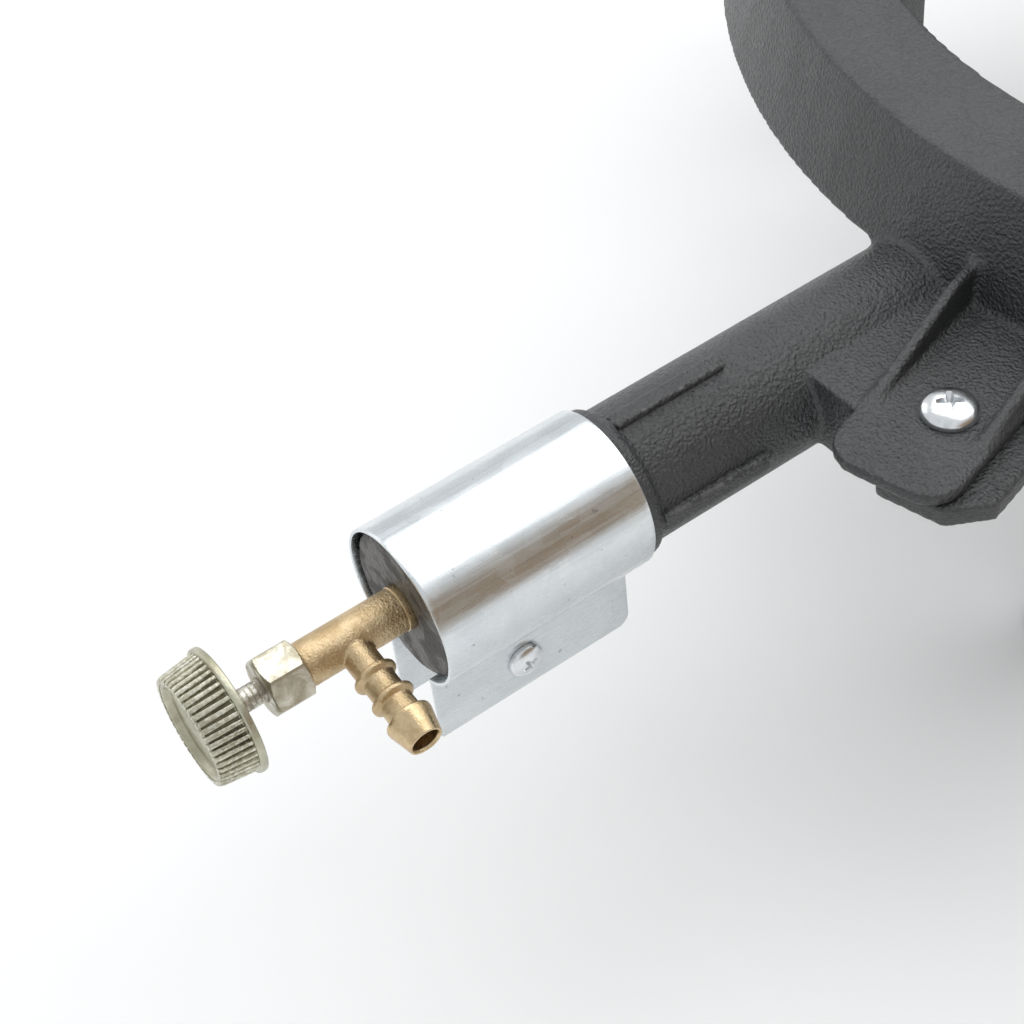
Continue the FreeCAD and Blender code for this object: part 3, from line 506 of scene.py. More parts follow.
def shade(mesh, crease):
    mesh.shade_smooth()
    mesh.set_sharp_from_angle(angle=math.radians(crease))


def baked(made, crease=None):
    """The object with its modifiers turned into plain mesh."""
    graph = bpy.context.evaluated_depsgraph_get()
    mesh = bpy.data.meshes.new_from_object(made.evaluated_get(graph))
    old = made.data
    made.modifiers.clear()
    made.data = mesh
    bpy.data.meshes.remove(old)
    if crease is not None:
        shade(made.data, crease)
    return made


def rounded(points, steps=4):
    """A section of (radius, station, rounding) corners with an arc at each rounded corner."""
    line = []
    count = len(points)
    for i, (x, y, size) in enumerate(points):
        here = Vector((x, y))
        if size <= 0 or i in (0, count - 1):
            line.append(here)
            continue
        before = Vector(points[i - 1][:2]) - here
        after = Vector(points[i + 1][:2]) - here
        half = before.angle(after) / 2
        reach = min(size / math.tan(half), before.length * 0.48, after.length * 0.48)
        radius = reach * math.tan(half)
        middle = here + (before.normalized() + after.normalized()).normalized() * (
            radius / math.sin(half))
        start = here + before.normalized() * reach - middle
        end = here + after.normalized() * reach - middle
        turn = start.angle_signed(end)
        for step in range(steps + 1):
            spot = start.copy()
            spot.rotate(Matrix.Rotation(-turn * step / steps, 2))
            line.append(middle + spot)
    return line


def spun(work, line, place, around, radius_rule=None):
    """Spins a section about the place's Z axis; a closed section makes a ring."""
    rings = []
    for spot in line:
        if spot.x < 1e-6:
            rings.append([work.verts.new(place @ Vector((0, 0, spot.y)))])
            continue
        ring = []
        for i in range(around):
            angle = 2 * math.pi * i / around
            radius = radius_rule(spot, angle) if radius_rule else spot.x
            ring.append(work.verts.new(
                place @ Vector((radius * math.cos(angle), radius * math.sin(angle), spot.y))))
        rings.append(ring)
    for one, other in zip(rings, rings[1:]):
        for i in range(around):
            j = (i + 1) % around
            corners = [one[i % len(one)], one[j % len(one)], other[j % len(other)],
                       other[i % len(other)]]
            unique = list(dict.fromkeys(corners))
            if len(unique) > 2:
                work.faces.new(unique)


def valve_axis(station=0.0):
    """A place on the valve's axis whose Z points towards the knob."""
    return (Matrix.Translation((0, FRONT - station, AXIS_Z))
            @ Matrix.Rotation(math.radians(90), 4, "X"))


def tail_axis():
    """The start of the hose tail, with Z along it: towards +X and tilted down."""
    return (Matrix.Translation((0, FRONT - TAIL_STATION, AXIS_Z))
            @ Matrix.Rotation(math.radians(90) + TAIL_TILT, 4, "Y"))


def turned_piece(name, points, place, finish, around, crease=35):
    """A piece from the lathe: a section with rounded corners, spun about the place's Z axis."""
    work = bmesh.new()
    spun(work, rounded(points), place, around)
    return from_bmesh(name, work, finish, crease)


def cad_copy(node_name, name, finish):
    """A merged copy of a CAD node's mesh."""
    work = bmesh.new()
    work.from_mesh(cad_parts[node_name].data)
    work.transform(Matrix.Scale(1 / MM, 4))
    return from_bmesh(name, work, finish)


def settle(made, body, slot, *nodes):
    """Puts a finished piece on its body and hides the CAD nodes it stands for; the finish's name
    in slot is not used.
    """
    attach(made, body)
    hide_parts(*nodes)


def cut_away(made, cutter):
    """The piece without the cutter, which is used up."""
    tool = made.modifiers.new("cut", "BOOLEAN")
    tool.operation = "DIFFERENCE"
    tool.solver = "EXACT"
    tool.object = cutter
    baked(made)
    bpy.data.objects.remove(cutter)


def joined(first, *others):
    """Adds the other objects' meshes to the first one's."""
    work = bmesh.new()
    for each in (first, *others):
        work.from_mesh(each.data)
    work.to_mesh(first.data)
    work.free()
    for each in others:
        bpy.data.objects.remove(each)
    return first


def voxel_remesh(made, voxel):
    """Adds a remesh with cells of this size in millimetres, and leaves it live."""
    remesh = made.modifiers.new("remesh", "REMESH")
    remesh.mode = "VOXEL"
    remesh.voxel_size = voxel * MM


def softened(made, rounds):
    """Rounds a remeshed piece's edges and corners, and bakes it."""
    soften = made.modifiers.new("soften", "SMOOTH")
    soften.factor = 0.5
    soften.iterations = rounds
    baked(made)


def scaled_place(place):
    """A place in millimetres as a move for a mesh that is already in metres."""
    moved = place.copy()
    moved.translation = place.translation * MM
    return moved


# ---- geometry node trees

def geometry_tree(name, inputs):
    """A geometry tree with a geometry input and output, and named inputs."""
    tree = bpy.data.node_groups.new(name, "GeometryNodeTree")
    tree.interface.new_socket("Geometry", in_out="INPUT", socket_type="NodeSocketGeometry")
    for word, kind in inputs.items():
        tree.interface.new_socket(word, in_out="INPUT", socket_type="NodeSocket" + kind)
    tree.interface.new_socket("Geometry", in_out="OUTPUT", socket_type="NodeSocketGeometry")
    return tree, tree.nodes.new("NodeGroupInput"), tree.nodes.new("NodeGroupOutput")


def grow(made, tree, **values):
    """Runs a geometry tree on an object and keeps the result as plain mesh."""
    tool = made.modifiers.new(tree.name, "NODES")
    tool.node_group = tree
    for item in tree.interface.items_tree:
        word = item.name.replace(" ", "_")
        if item.in_out == "INPUT" and word in values:
            tool[item.identifier] = values[word]
    baked(made)


def finish_tree(tree, given, result, geometry):
    """Ends a tree: real geometry in the given material."""
    real = node(tree, "GeometryNodeRealizeInstances", {0: geometry})
    dressed = node(tree, "GeometryNodeSetMaterial",
                   {"Geometry": real.outputs[0], "Material": given.outputs["Finish"]})
    tree.links.new(dressed.outputs[0], result.inputs[0])


def skin_tree():
    """Moves a cast surface in and out by two sizes of noise, as sand leaves it."""
    tree, given, result = geometry_tree(
        "cast skin", {"Depth": "Float", "Grains per metre": "Float", "Finish": "Material"})
    place = node(tree, "GeometryNodeInputPosition").outputs[0]
    scale = given.outputs["Grains per metre"]
    coarse = noise(tree, place, scale, 3.0, 0.6)
    wide = noise(tree, place, sums(tree, "MULTIPLY", scale, 0.12), 2.0, 0.5)
    both = sums(tree, "ADD", coarse, sums(tree, "MULTIPLY", wide, 0.6))
    lift = sums(tree, "MULTIPLY", sums(tree, "SUBTRACT", both, 0.95), given.outputs["Depth"])
    normal = node(tree, "GeometryNodeInputNormal").outputs[0]
    offset = node(tree, "ShaderNodeVectorMath", {0: normal, "Scale": lift}, operation="SCALE")
    moved = node(tree, "GeometryNodeSetPosition",
                 {"Geometry": given.outputs["Geometry"], "Offset": offset.outputs[0]})
    finish_tree(tree, given, result, moved.outputs[0])
    return tree


def circle_tree():
    """Copies of one piece in a ring about a centre, each turned to face outwards."""
    tree, given, result = geometry_tree(
        "ring of copies", {"Piece": "Object", "Count": "Int", "Radius": "Float",
                           "Finish": "Material"})
    ring = node(tree, "GeometryNodeMeshCircle",
                {"Vertices": given.outputs["Count"], "Radius": given.outputs["Radius"]})
    piece = node(tree, "GeometryNodeObjectInfo", {"Object": given.outputs["Piece"]})
    normal = node(tree, "GeometryNodeInputPosition").outputs[0]
    facing = node(tree, "FunctionNodeAlignRotationToVector", {"Vector": normal}, axis="X",
                  pivot_axis="Z")
    copies = node(tree, "GeometryNodeInstanceOnPoints",
                  {"Points": ring.outputs[0], "Instance": piece.outputs["Geometry"],
                   "Rotation": facing.outputs[0]})
    finish_tree(tree, given, result, copies.outputs[0])
    return tree


def points_tree():
    """One copy of a piece on each point, each turned about Z by its own amount."""
    tree, given, result = geometry_tree(
        "fasteners", {"Piece": "Object", "Seed": "Int", "Finish": "Material"})
    piece = node(tree, "GeometryNodeObjectInfo", {"Object": given.outputs["Piece"]})
    turn = node(tree, "FunctionNodeRandomValue", {"Seed": given.outputs["Seed"]},
                data_type="FLOAT")
    turn.inputs[3].default_value = 2 * math.pi
    spin = node(tree, "ShaderNodeCombineXYZ", {"Z": turn.outputs[1]})
    copies = node(tree, "GeometryNodeInstanceOnPoints",
                  {"Points": given.outputs["Geometry"], "Instance": piece.outputs["Geometry"],
                   "Rotation": spin.outputs[0]})
    finish_tree(tree, given, result, copies.outputs[0])
    return tree


def thread_tree():
    """A helical thread of triangular section up the Z axis."""
    tree, given, result = geometry_tree(
        "screw thread", {"Radius": "Float", "Pitch": "Float", "Length": "Float",
                         "Finish": "Material"})
    turns = sums(tree, "DIVIDE", given.outputs["Length"], given.outputs["Pitch"])
    helix = node(tree, "GeometryNodeCurveSpiral",
                 {"Resolution": 24, "Rotations": turns, "Start Radius": given.outputs["Radius"],
                  "End Radius": given.outputs["Radius"], "Height": given.outputs["Length"]})
    ridge = node(tree, "GeometryNodeCurvePrimitiveCircle",
                 {"Resolution": 3, "Radius": sums(
                     tree, "MULTIPLY", given.outputs["Pitch"], 0.42)})
    swept = node(tree, "GeometryNodeCurveToMesh",
                 {"Curve": helix.outputs[0], "Profile Curve": ridge.outputs[0],
                  "Fill Caps": True})
    finish_tree(tree, given, result, swept.outputs[0])
    return tree


TREES = {"skin": skin_tree(), "circle": circle_tree(), "points": points_tree(),
         "thread": thread_tree()}


# ---- castings

def cast_piece(name, node_name, finish, voxel, rounds, depth, most):
    """A casting: the CAD solid with soft fillets, rounded edges and a sandy skin."""
    made = cad_copy(node_name, name, finish)
    voxel_remesh(made, voxel)
    softened(made, rounds)
    grow(made, TREES["skin"], Depth=depth * MM, Grains_per_metre=260.0, Finish=finish)
    triangles = 2 * len(made.data.polygons)
    if triangles > most:
        fewer = made.modifiers.new("fewer", "DECIMATE")
        fewer.ratio = most / triangles
        baked(made)
    made.data.shade_smooth()
    return made


def stove_casting():
    """Ring, arms, bowl, tube and lugs in one, with the tube's end face scuffed bare."""
    made = cast_piece("ring_casting", "stove_frame", FINISH["cast"], voxel=0.8, rounds=3,
                      depth=0.09, most=190000)
    made.data.materials.append(FINISH["disc"])
    end_level = (FRONT + 2.5) * MM
    for face in made.data.polygons:
        if face.center.y < end_level and face.normal.y < -0.6:
            face.material_index = 1
    settle(made, "stove", "black_cast_iron", "stove_frame")


def guide_bars():
    """Four raised bars behind the sleeve that its edge slides up to."""
    bars = bmesh.new()
    for quarter in range(4):
        place = valve_axis(-GUIDE_MIDDLE) @ Matrix.Rotation(quarter * math.pi / 2, 4, "Z")
        size = Matrix.Diagonal((GUIDE_THICK, GUIDE_WIDTH, GUIDE_LENGTH, 1.0))
        lift = Matrix.Translation((GUIDE_TOP - GUIDE_THICK / 2, 0, 0))
        bmesh.ops.create_cube(bars, size=1.0, matrix=place @ lift @ size)
    made = from_bmesh("guide_bars", bars, FINISH["cast"], 40)
    soft = made.modifiers.new("edges", "BEVEL")
    soft.width = 0.7 * MM
    soft.segments = 3
    settle(baked(made, 50), "stove", "black_cast_iron", "stove_frame")


def legs():
    for number in LEGS:
        made = cast_piece(f"cast_leg_{number}", f"leg_{number}", FINISH["cast"], voxel=0.8,
                          rounds=3, depth=0.2, most=60000)
        settle(made, "stove", "black_cast_iron", f"leg_{number}")


def burner():
    made = cast_piece("burner_top", "burner_cap", FINISH["burner"], voxel=0.65, rounds=2,
                      depth=0.12, most=150000)
    settle(made, "stove", "burner_cast_iron", "burner_cap")


# ---- fasteners

def cross_cutter(reach, depth, top):
    """A tapered four-winged driver tip, pointing down from just above the head's top."""
    work = bmesh.new()
    half = reach * 0.19
    outline = []
    for quarter in range(4):
        turn = Matrix.Rotation(quarter * math.pi / 2, 2)
        for spot in ((half * 1.5, half * 1.5), (reach, half), (reach, -half)):
            outline.append(turn @ Vector(spot))
    outline.sort(key=lambda spot: math.atan2(spot.y, spot.x))
    levels = ((top + 0.5, 1.12), (top - depth, 0.42))
    rows = [[work.verts.new((spot.x * share, spot.y * share, level)) for spot in outline]
            for level, share in levels]
    for i in range(len(outline)):
        j = (i + 1) % len(outline)
        work.faces.new((rows[0][i], rows[0][j], rows[1][j], rows[1][i]))
    work.faces.new(rows[0])
    work.faces.new(rows[1])
    return from_bmesh("driver_tip", work, FINISH["plated"])


def pan_head(name, head, rise, thread, length, pitch):
    """A screw with its seat at Z = 0, a domed head with a cross recess, and a threaded shank."""
    core = thread - 0.32 * pitch
    skirt = 0.22
    arc = [math.radians(9 * i) for i in range(11)]
    section = [(head * math.sin(turn), rise * (skirt + (1 - skirt) * math.cos(turn)), 0)
               for turn in arc]
    section += [(head, 0, 0.2), (core, 0, 0), (core, 0.6 - length, 0), (core - 0.5, -length, 0),
               (0, -length, 0)]
    work = bmesh.new()
    spun(work, rounded(section, 6), Matrix(), 48)
    made = from_bmesh(name, work, FINISH["plated"])
    cut_away(made, cross_cutter(head * 0.52, rise * 0.62, rise))
    shade(made.data, 30)
    helix = link_mesh(name + "_thread", bpy.data.meshes.new(name + "_thread"))
    grow(helix, TREES["thread"], Radius=core * MM, Pitch=pitch * MM,
         Length=(length - 0.4) * MM, Finish=FINISH["plated"])
    helix.data.transform(Matrix.Translation((0, 0, (0.2 - length) * MM)))
    return joined(made, helix)


def hex_nut(name, flats, thick, hole, finish, turn=0.0):
    """A nut on Z = 0: six flats, both faces chamfered round, and a countersunk hole."""
    half = flats / 2
    face = half * 0.95
    lean = 0.6
    blunting = 0.1
    sink = 0.45

    def reach(spot, angle):
        """A wall point lies on the flat, or on the chamfer cone where that is nearer."""
        flat = half / math.cos((angle - turn) % (math.pi / 3) - math.pi / 6)
        if spot.x < half:
            return spot.x
        return min(flat - blunting * (flat - half), face + min(spot.y, thick - spot.y) / lean)

    levels = [i * 0.16 for i in range(8)]
    line = [Vector((hole, thick / 2)), Vector((hole, sink)), Vector((hole + sink, 0)),
            Vector((face, 0))]
    line += [Vector((half, level)) for level in levels[1:]]
    line += [Vector((half, thick - level)) for level in reversed(levels[1:])]
    line += [Vector((face, thick)), Vector((hole + sink, thick)), Vector((hole, thick - sink)),
             Vector((hole, thick / 2))]
    work = bmesh.new()
    spun(work, line, Matrix(), 120, reach)
    return from_bmesh(name, work, finish, 28)


def washer(name, radius, thick, hole):
    """A flat zinc-plated ring on Z = 0."""
    points = [(hole, thick / 2, 0), (hole, 0, 0.15), (radius, 0, 0.3), (radius, thick, 0.3),
              (hole, thick, 0.15), (hole, thick / 2, 0)]
    return turned_piece(name, points, Matrix(), FINISH["plated"], 56)


def on_points(name, piece, spots, seed):
    """Plated copies of a piece on several spots, as one mesh; the piece is used up."""
    mesh = bpy.data.meshes.new(name)
    mesh.from_pydata([spot * MM for spot in spots], [], [])
    made = link_mesh(name, mesh)
    grow(made, TREES["points"], Piece=piece, Seed=seed, Finish=FINISH["plated"])
    bpy.data.objects.remove(piece)
    shade(made.data, 32)
    return made


def seats(nodes, level):
    """The middle of each node's box, at its lowest or highest level."""
    spots = []
    for name in nodes:
        low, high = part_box(name)
        middle = (low + high) / 2 / MM
        height = {"low": low.z, "high": high.z}[level] / MM
        spots.append(Vector((middle.x, middle.y, height)))
    return spots


def standing_screw(name, nodes):
    """An upright screw as long as the nodes' CAD ones, and the spots under their heads."""
    low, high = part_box(nodes[0])
    length = (high.z - low.z) / MM - LEG_HEAD_RISE
    screw = pan_head(name, LEG_HEAD, LEG_HEAD_RISE, LEG_THREAD, length, LEG_PITCH)
    return screw, [spot - Vector((0, 0, LEG_HEAD_RISE)) for spot in seats(nodes, "high")]


def leg_fasteners():
    screws, rings, nuts = ([f"leg_{kind}_{number}" for number in LEGS]
                           for kind in ("screw", "washer", "nut"))
    screw, under = standing_screw("leg_screw", screws)
    settle(on_points("leg_screws", screw, under, 3), "stove", "zinc_steel", *screws)
    ring = washer("leg_washer", LEG_WASHER, LEG_WASHER_THICK, LEG_THREAD + WASHER_PLAY)
    settle(on_points("leg_washers", ring, seats(rings, "low"), 1), "stove", "zinc_steel", *rings)
    nut = hex_nut("leg_nut", LEG_NUT_FLATS, LEG_NUT_THICK, LEG_THREAD, FINISH["plated"])
    settle(on_points("leg_nuts", nut, seats(nuts, "low"), 5), "stove", "zinc_steel", *nuts)


def cap_fastener():
    screw, under = standing_screw("burner_screw", ["cap_screw"])
    screw.data.transform(Matrix.Translation(under[0] * MM))
    settle(screw, "stove", "zinc_steel", "cap_screw")


def clamp_fasteners():
    """The screw across the sleeve's ears, head towards +X, with its washer and nut."""
    face = EAR_X + SHEET
    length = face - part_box("shutter_clamp_screw")[0].x / MM
    screw = pan_head("clamp_screw", CLAMP_HEAD, CLAMP_HEAD_RISE, CLAMP_THREAD, length,
                     CLAMP_PITCH)
    ring = washer("clamp_washer", CLAMP_WASHER, CLAMP_WASHER_THICK, CLAMP_THREAD + WASHER_PLAY)
    nut = hex_nut("clamp_nut", CLAMP_NUT_FLATS, CLAMP_NUT_THICK, CLAMP_THREAD, FINISH["plated"])
    for made, start, turn, word in (
            (screw, face, CLAMP_TURN, "screw"),
            (ring, -face - CLAMP_WASHER_THICK, 0.0, "washer"),
            (nut, -face - (CLAMP_WASHER_THICK + CLAMP_NUT_THICK), 0.0, "nut")):
        place = (Matrix.Translation((start, FRONT + CLAMP_BACK, AXIS_Z + CLAMP_Z))
                 @ Matrix.Rotation(math.radians(90), 4, "Y") @ Matrix.Rotation(turn, 4, "Z"))
        made.data.transform(scaled_place(place))
        settle(made, "shutter", "zinc_steel", f"shutter_clamp_{word}")


# ---- air shutter

def sleeve():
    """The rolled sheet with two flat ears, as a grid along the section and along the tube."""
    radius = SLEEVE_RADIUS - SHEET / 2
    ear = EAR_X + SHEET / 2
    bottom = SLEEVE_LOW.z / MM - AXIS_Z
    length = (SLEEVE_HIGH.y - SLEEVE_LOW.y) / MM
    section, ear_steps = sleeve_section(radius, ear, bottom)
    columns = 48
    work = bmesh.new()
    rows = []
    for number, spot in enumerate(section):
        depth = spot.y - bottom
        on_ear = min(number, len(section) - 1 - number) <= ear_steps
        first, last = (EAR_START, EAR_END) if on_ear else (0.0, length)
        if on_ear:
            first += corner_cut(depth, EAR_FRONT_CORNER)
            last -= corner_cut(depth, EAR_BACK_CORNER)
        rows.append([work.verts.new((spot.x, FRONT + first + (last - first) * i / columns,
                                     AXIS_Z + spot.y)) for i in range(columns + 1)])
    for one, other in zip(rows, rows[1:]):
        for i in range(columns):
            work.faces.new((one[i], one[i + 1], other[i + 1], other[i]))
    made = from_bmesh("air_sleeve", work, FINISH["sheet"], 60)
    wall = made.modifiers.new("sheet", "SOLIDIFY")
    wall.thickness = SHEET * MM
    wall.offset = 0.0
    wall.use_even_offset = True
    soft = made.modifiers.new("edges", "BEVEL")
    soft.width = 0.14 * MM
    soft.segments = 2
    soft.limit_method = "ANGLE"
    soft.angle_limit = math.radians(50)
    settle(baked(made, 42), "shutter", "zinc_sheet", "air_shutter")


def corner_cut(depth, radius):
    """How far a rounded corner has drawn an edge in, at a height above the bottom edge."""
    if depth >= radius:
        return 0.0
    return radius - math.sqrt(radius ** 2 - (radius - max(depth, 0.0)) ** 2)


def sleeve_section(radius, ear, bottom):
    """The sheet's middle line: up the right ear, a small bend, over the roll, down the left."""
    side = ear + EAR_BEND
    drop = -math.sqrt((radius + EAR_BEND) ** 2 - side ** 2)
    meet = math.atan2(-drop, -side)
    steps = 16
    levels = [0.0, 0.12, 0.3, 0.55, 0.9, 1.4, 2.1, 3.0]
    corner = levels[-1]
    levels += [corner + (drop - bottom - corner) * i / steps for i in range(1, steps + 1)]
    half = [Vector((ear, bottom + level)) for level in levels]
    ear_steps = len(half) - 1
    for i in range(1, 7):
        angle = math.pi + (meet - math.pi) * i / 6
        half.append(Vector((side + EAR_BEND * math.cos(angle),
                            drop + EAR_BEND * math.sin(angle))))
    start = math.atan2(half[-1].y, half[-1].x)
    for i in range(1, 49):
        angle = start + (math.pi / 2 - start) * i / 48
        half.append(Vector((radius * math.cos(angle), radius * math.sin(angle))))
    return half + [Vector((-spot.x, spot.y)) for spot in half[-2::-1]], ear_steps


# ---- valve

def valve():
    """Cast brass barrel and tail root in one, with the turned seat ring and hose tail."""
    work = bmesh.new()
    barrel = [(0, -0.5, 0), (VALVE_RADIUS, -0.5, 0), (VALVE_RADIUS, VALVE_END, 0.3),
              (0, VALVE_END, 0)]
    spun(work, rounded(barrel), valve_axis(), 96)
    root_end = 9.2
    root = [(0, 0.5, 0), (TAIL_STEM, 0.5, 0), (TAIL_STEM, root_end, 0.4), (0, root_end, 0)]
    spun(work, rounded(root), tail_axis(), 72)
    body = from_bmesh("valve_casting", work, FINISH["brass"])
    voxel_remesh(body, 0.2)
    softened(body, 8)
    grow(body, TREES["skin"], Depth=0.05 * MM, Grains_per_metre=1600.0, Finish=FINISH["brass"])
    body.data.shade_smooth()
    settle(body, "stove", "brass", "valve_body")
    inside = RING_RADIUS - RING_WALL
    ring = [(inside, RING_START, 0), (RING_RADIUS, RING_START, 0.1),
            (RING_RADIUS, RING_END, 0.18), (inside, RING_END, 0), (inside, RING_START, 0)]
    for name, section, place, finish, around, crease in (
            ("valve_ring", ring, valve_axis(), "turned", 96, 35),
            ("hose_tail", tail_section(), tail_axis(), "brass", 72, 28),
            ("hose_tail_tip", tip_section(), tail_axis(), "turned", 96, 28)):
        settle(turned_piece(name, section, place, FINISH[finish], around, crease), "stove",
               "brass", "valve_body")


def tail_section():
    """The cast stem with its two round ridges, a little waisted between them."""
    points = [(0, 8.4, 0), (TAIL_STEM, 8.4, 0)]
    for middle in TAIL_RIDGES:
        points += [(TAIL_STEM, middle - 0.95, 0.5), (TAIL_RIDGE, middle - 0.45, 0.45),
                   (TAIL_RIDGE, middle + 0.35, 0.45), (TAIL_STEM, middle + 0.95, 0.5)]
    points += [(TAIL_STEM + 0.1, 20.3, 0.2), (0, 20.3, 0)]
    return points


def tip_section():
    """The turned end: a short land, a long taper and the open mouth."""
    return [(0, 17.0, 0), (TAIL_BORE, 17.0, 0), (TAIL_BORE, TAIL_LENGTH - 0.5, 0.15),
            (TAIL_BORE + 0.25, TAIL_LENGTH, 0.08), (3.5, TAIL_LENGTH, 0.15),
            (TIP_RADIUS, 21.3, 0.25), (TIP_RADIUS, 20.5, 0.3), (TAIL_STEM - 0.1, 20.0, 0.1),
            (TAIL_STEM - 0.3, 17.0, 0), (0, 16.6, 0)]


def spindle():
    """The needle and its stem, with shallow grooves where it shows behind the knob."""
    points = [(0, SPINDLE_START, 0), (1.0, SPINDLE_START, 0.1), (SPINDLE_RADIUS, 11.0, 0.1)]
    for groove in range(GROOVES):
        start = GROOVE_START + groove * GROOVE_PITCH
        points += [(SPINDLE_RADIUS, start, 0.06),
                   (SPINDLE_RADIUS - GROOVE_DEPTH, start + 0.2, 0.06),
                   (SPINDLE_RADIUS, start + 0.4, 0.06)]
    points += [(SPINDLE_RADIUS, SPINDLE_END, 0.2), (0, SPINDLE_END, 0)]
    made = turned_piece("needle_spindle", points, valve_axis(), FINISH["stem"], 64, 30)
    settle(made, "spindle", "spindle_steel", "valve_spindle")


def gland():
    nut = hex_nut("gland_hexagon", GLAND_FLATS, GLAND_LENGTH, SPINDLE_RADIUS + 0.12,
                  FINISH["nickel"], -GLAND_TURN)
    nut.data.transform(scaled_place(valve_axis(VALVE_END)))
    settle(nut, "stove", "nickel_brass", "gland_nut")


def knob():
    """Flanged cast knob: a core, a ring of flute bars, a rough face and its centre screw."""
    place = valve_axis(KNOB_BACK)
    back = KNOB_FLANGE_THICK
    front = back + KNOB_RIM
    hub = SPINDLE_RADIUS + 0.05
    root = KNOB_ROOT - 0.55
    face = KNOB_FACE - 0.5
    core = [(hub, 3.0, 0), (hub, 0, 0.1), (KNOB_FLANGE, 0, 0.35), (KNOB_FLANGE, back, 0.45),
            (root, back, 0.2), (face, front - 0.15, 0.35), (face - 1.4, front - 0.1, 0.5),
            (face - 1.9, front - 1.5, 0.6), (hub, front - 1.9, 0), (hub, 3.0, 0)]
    made = turned_piece("knob_core", core, place, FINISH["knob"], 96, 28)
    # The core between the flute bars takes the near-black groove finish: painted shade in the
    # grooves.
    made.data.materials.append(FINISH["groove"])
    to_knob = scaled_place(place).inverted()
    for side in made.data.polygons:
        spot = to_knob @ side.center / MM
        if back + 0.2 < spot.z < front - 0.4 and face - 0.3 < spot.xy.length < root + 0.3:
            side.material_index = 1
    bar = flute_bar(root, face, back, front)
    rim = link_mesh("knob_flutes", bpy.data.meshes.new("knob_flutes"))
    grow(rim, TREES["circle"], Piece=bar, Count=FLUTES, Radius=0.01 * MM,
         Finish=FINISH["knob"])
    bpy.data.objects.remove(bar)
    rim.data.transform(scaled_place(place))
    shade(rim.data, 30)
    settle(joined(made, rim), "knob", "yellow_zinc", "control_knob")
    settle(knob_face(place, front), "knob", "yellow_zinc", "control_knob")
    shank = SPINDLE_RADIUS - 0.4
    screw = [(0, 4.9, 0), (shank, 4.9, 0), (shank, 6.0, 0), (KNOB_SCREW, 6.0, 0.1),
             (KNOB_SCREW, 6.9, 0.4), (1.4, 7.6, 0.6), (0, 7.6, 0)]
    centre = turned_piece("knob_centre", screw, place, FINISH["plated"], 40, 30)
    settle(centre, "knob", "zinc_steel", "knob_screw")


def flute_bar(root, face, back, front):
    """One land of the knob's rim, lying along Z on the +X side, narrower at its top edge."""
    work = bmesh.new()
    rows = []
    for level, sunk, rise, wide, narrow in (
            (back - 0.1, root - 0.4, KNOB_ROOT, 0.62, 0.36),
            (front - 0.7, face - 0.4, KNOB_FACE + 0.05, 0.64, 0.5),
            (front, face - 0.7, KNOB_FACE - 0.25, 0.6, 0.46)):
        rows.append([work.verts.new(spot) for spot in (
            (sunk, -wide, level), (rise - 0.12, -narrow, level), (rise, -narrow * 0.6, level),
            (rise, narrow * 0.6, level), (rise - 0.12, narrow, level), (sunk, wide, level))])
    for one, other in zip(rows, rows[1:]):
        for i in range(len(one)):
            j = (i + 1) % len(one)
            work.faces.new((one[i], one[j], other[j], other[i]))
    work.faces.new(rows[0])
    work.faces.new(rows[-1])
    return from_bmesh("flute_bar", work, FINISH["knob"], 30)


def knob_face(place, front):
    """The rough cast web inside the rim, with a low mound round the centre."""
    work = bmesh.new()
    line = [(0, front - 1.2, 0), (3.6, front - 1.3, 0.8), (5.0, front - 2.1, 1.0),
            (KNOB_WEB, front - 2.2, 0.4), (KNOB_WEB, front - 4.0, 0), (0, front - 4.0, 0)]
    spun(work, rounded(line), Matrix(), 72)
    made = from_bmesh("knob_web", work, FINISH["knob_face"], 40)
    voxel_remesh(made, 0.3)
    baked(made)
    grow(made, TREES["skin"], Depth=0.5 * MM, Grains_per_metre=700.0,
         Finish=FINISH["knob_face"])
    made.data.transform(scaled_place(place))
    made.data.shade_smooth()
    return made


def hidden_parts():
    """Parts inside the valve and tube keep their CAD shape and get a real finish."""
    for name, finish in (("gas_jet", "turned"), ("gland_packing", "packing"),
                         ("packing_washer", "turned")):
        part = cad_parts[name]
        for place in part.material_slots:
            place.material = FINISH[finish]


# ---- studio

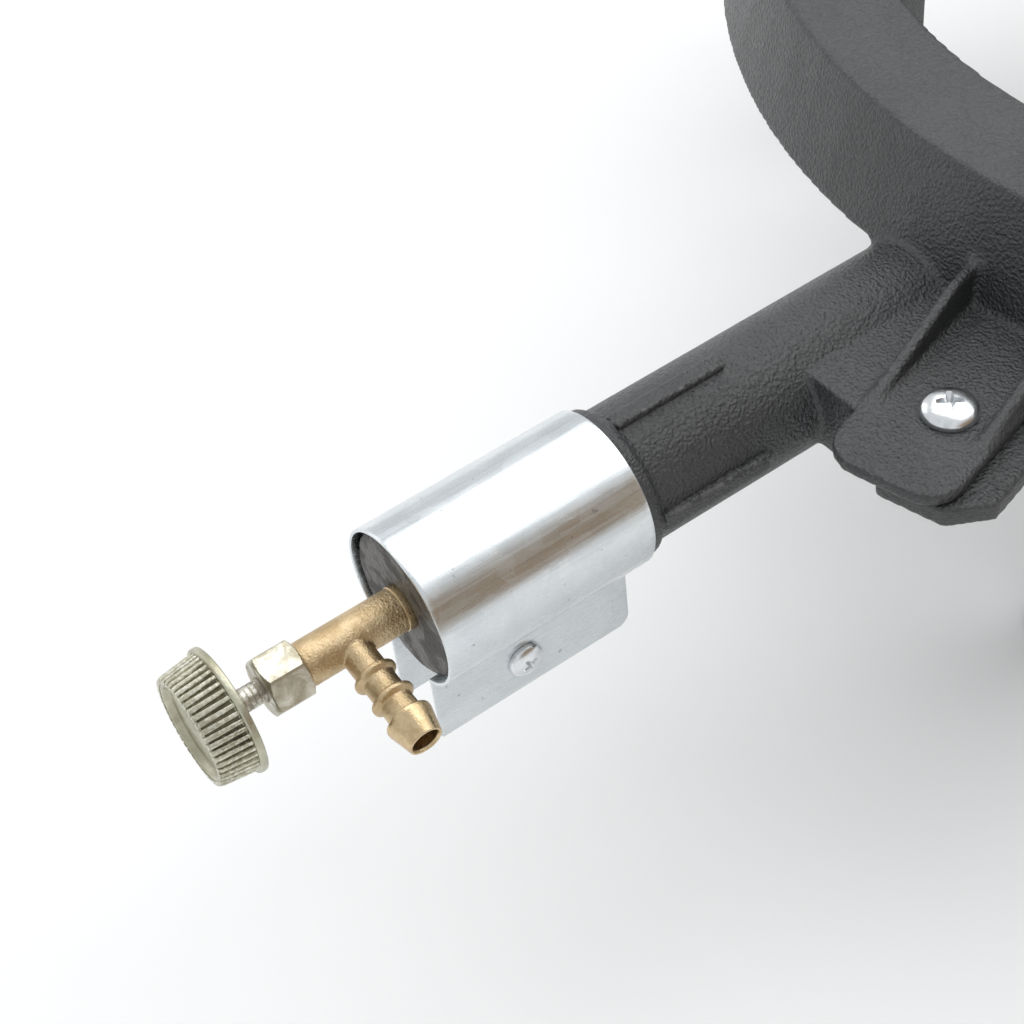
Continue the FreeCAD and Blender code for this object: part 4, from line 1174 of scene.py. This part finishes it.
def studio():
    """A pale floor, one broad overhead light, a side light and a soft surround."""
    work = bmesh.new()
    bmesh.ops.create_grid(work, x_segments=2, y_segments=2, size=3000.0)
    floor = from_bmesh("floor", work, FINISH["floor"])
    for name, spot, size, power in LAMPS:
        lamp(name, Vector(spot), size, power)
    surround()


def lamp(name, spot, size, power):
    """A rectangular lamp that faces the knob's end of the tube."""
    light = bpy.data.lights.new(name, "AREA")
    light.shape = "RECTANGLE"
    light.size, light.size_y = size
    light.energy = power
    made = bpy.data.objects.new(name, light)
    made.location = spot
    made.rotation_mode = "QUATERNION"
    made.rotation_quaternion = (Vector(LAMPS_FACE) - spot).to_track_quat("-Z", "Y")
    bpy.context.scene.collection.objects.link(made)


def surround():
    """Soft white all round, with a warm brown wall low on the +X side."""
    world = bpy.data.worlds.new("studio")
    world.use_nodes = True
    tree = world.node_tree
    look = node(tree, "ShaderNodeTexCoord").outputs["Generated"]
    warm = node(tree, "ShaderNodeVectorMath", {0: look, 1: Vector(WARM_WALL).normalized()},
                operation="DOT_PRODUCT").outputs["Value"]
    mask = remap(tree, warm, 0.7, 0.94)
    colour = blend(tree, mask, rgb(0.79, 0.81, 0.825), rgb(0.33, 0.25, 0.175))
    background = tree.nodes["Background"]
    tree.links.new(colour, background.inputs["Color"])
    background.inputs["Strength"].default_value = 1.0
    bpy.context.scene.world = world


def camera():
    """Above the knob's end, to the right of the tube, looking down at the sleeve."""
    right = Vector((0.57764432, 0.8108278, -0.09426199))
    up = Vector((-0.55806866, 0.47654788, 0.67930957))
    back = right.cross(up)
    data = bpy.data.cameras.new("view")
    data.lens = 72.86
    data.sensor_width = 36.0
    data.shift_x = 0.0014
    data.shift_y = -0.0026
    made = bpy.data.objects.new("view", data)
    turn = Matrix((right, up, back)).transposed().to_4x4()
    spot = (234.09, FRONT - 106.57, AXIS_Z + 294.49)
    made.matrix_world = Matrix.Translation(Vector(spot) * MM) @ turn
    bpy.context.scene.collection.objects.link(made)
    bpy.context.scene.camera = made


camera()
studio()
stove_casting()
guide_bars()
legs()
burner()
leg_fasteners()
cap_fastener()
sleeve()
clamp_fasteners()
valve()
spindle()
gland()
knob()
hidden_parts()
bpy.context.scene.view_settings.view_transform = "Standard"
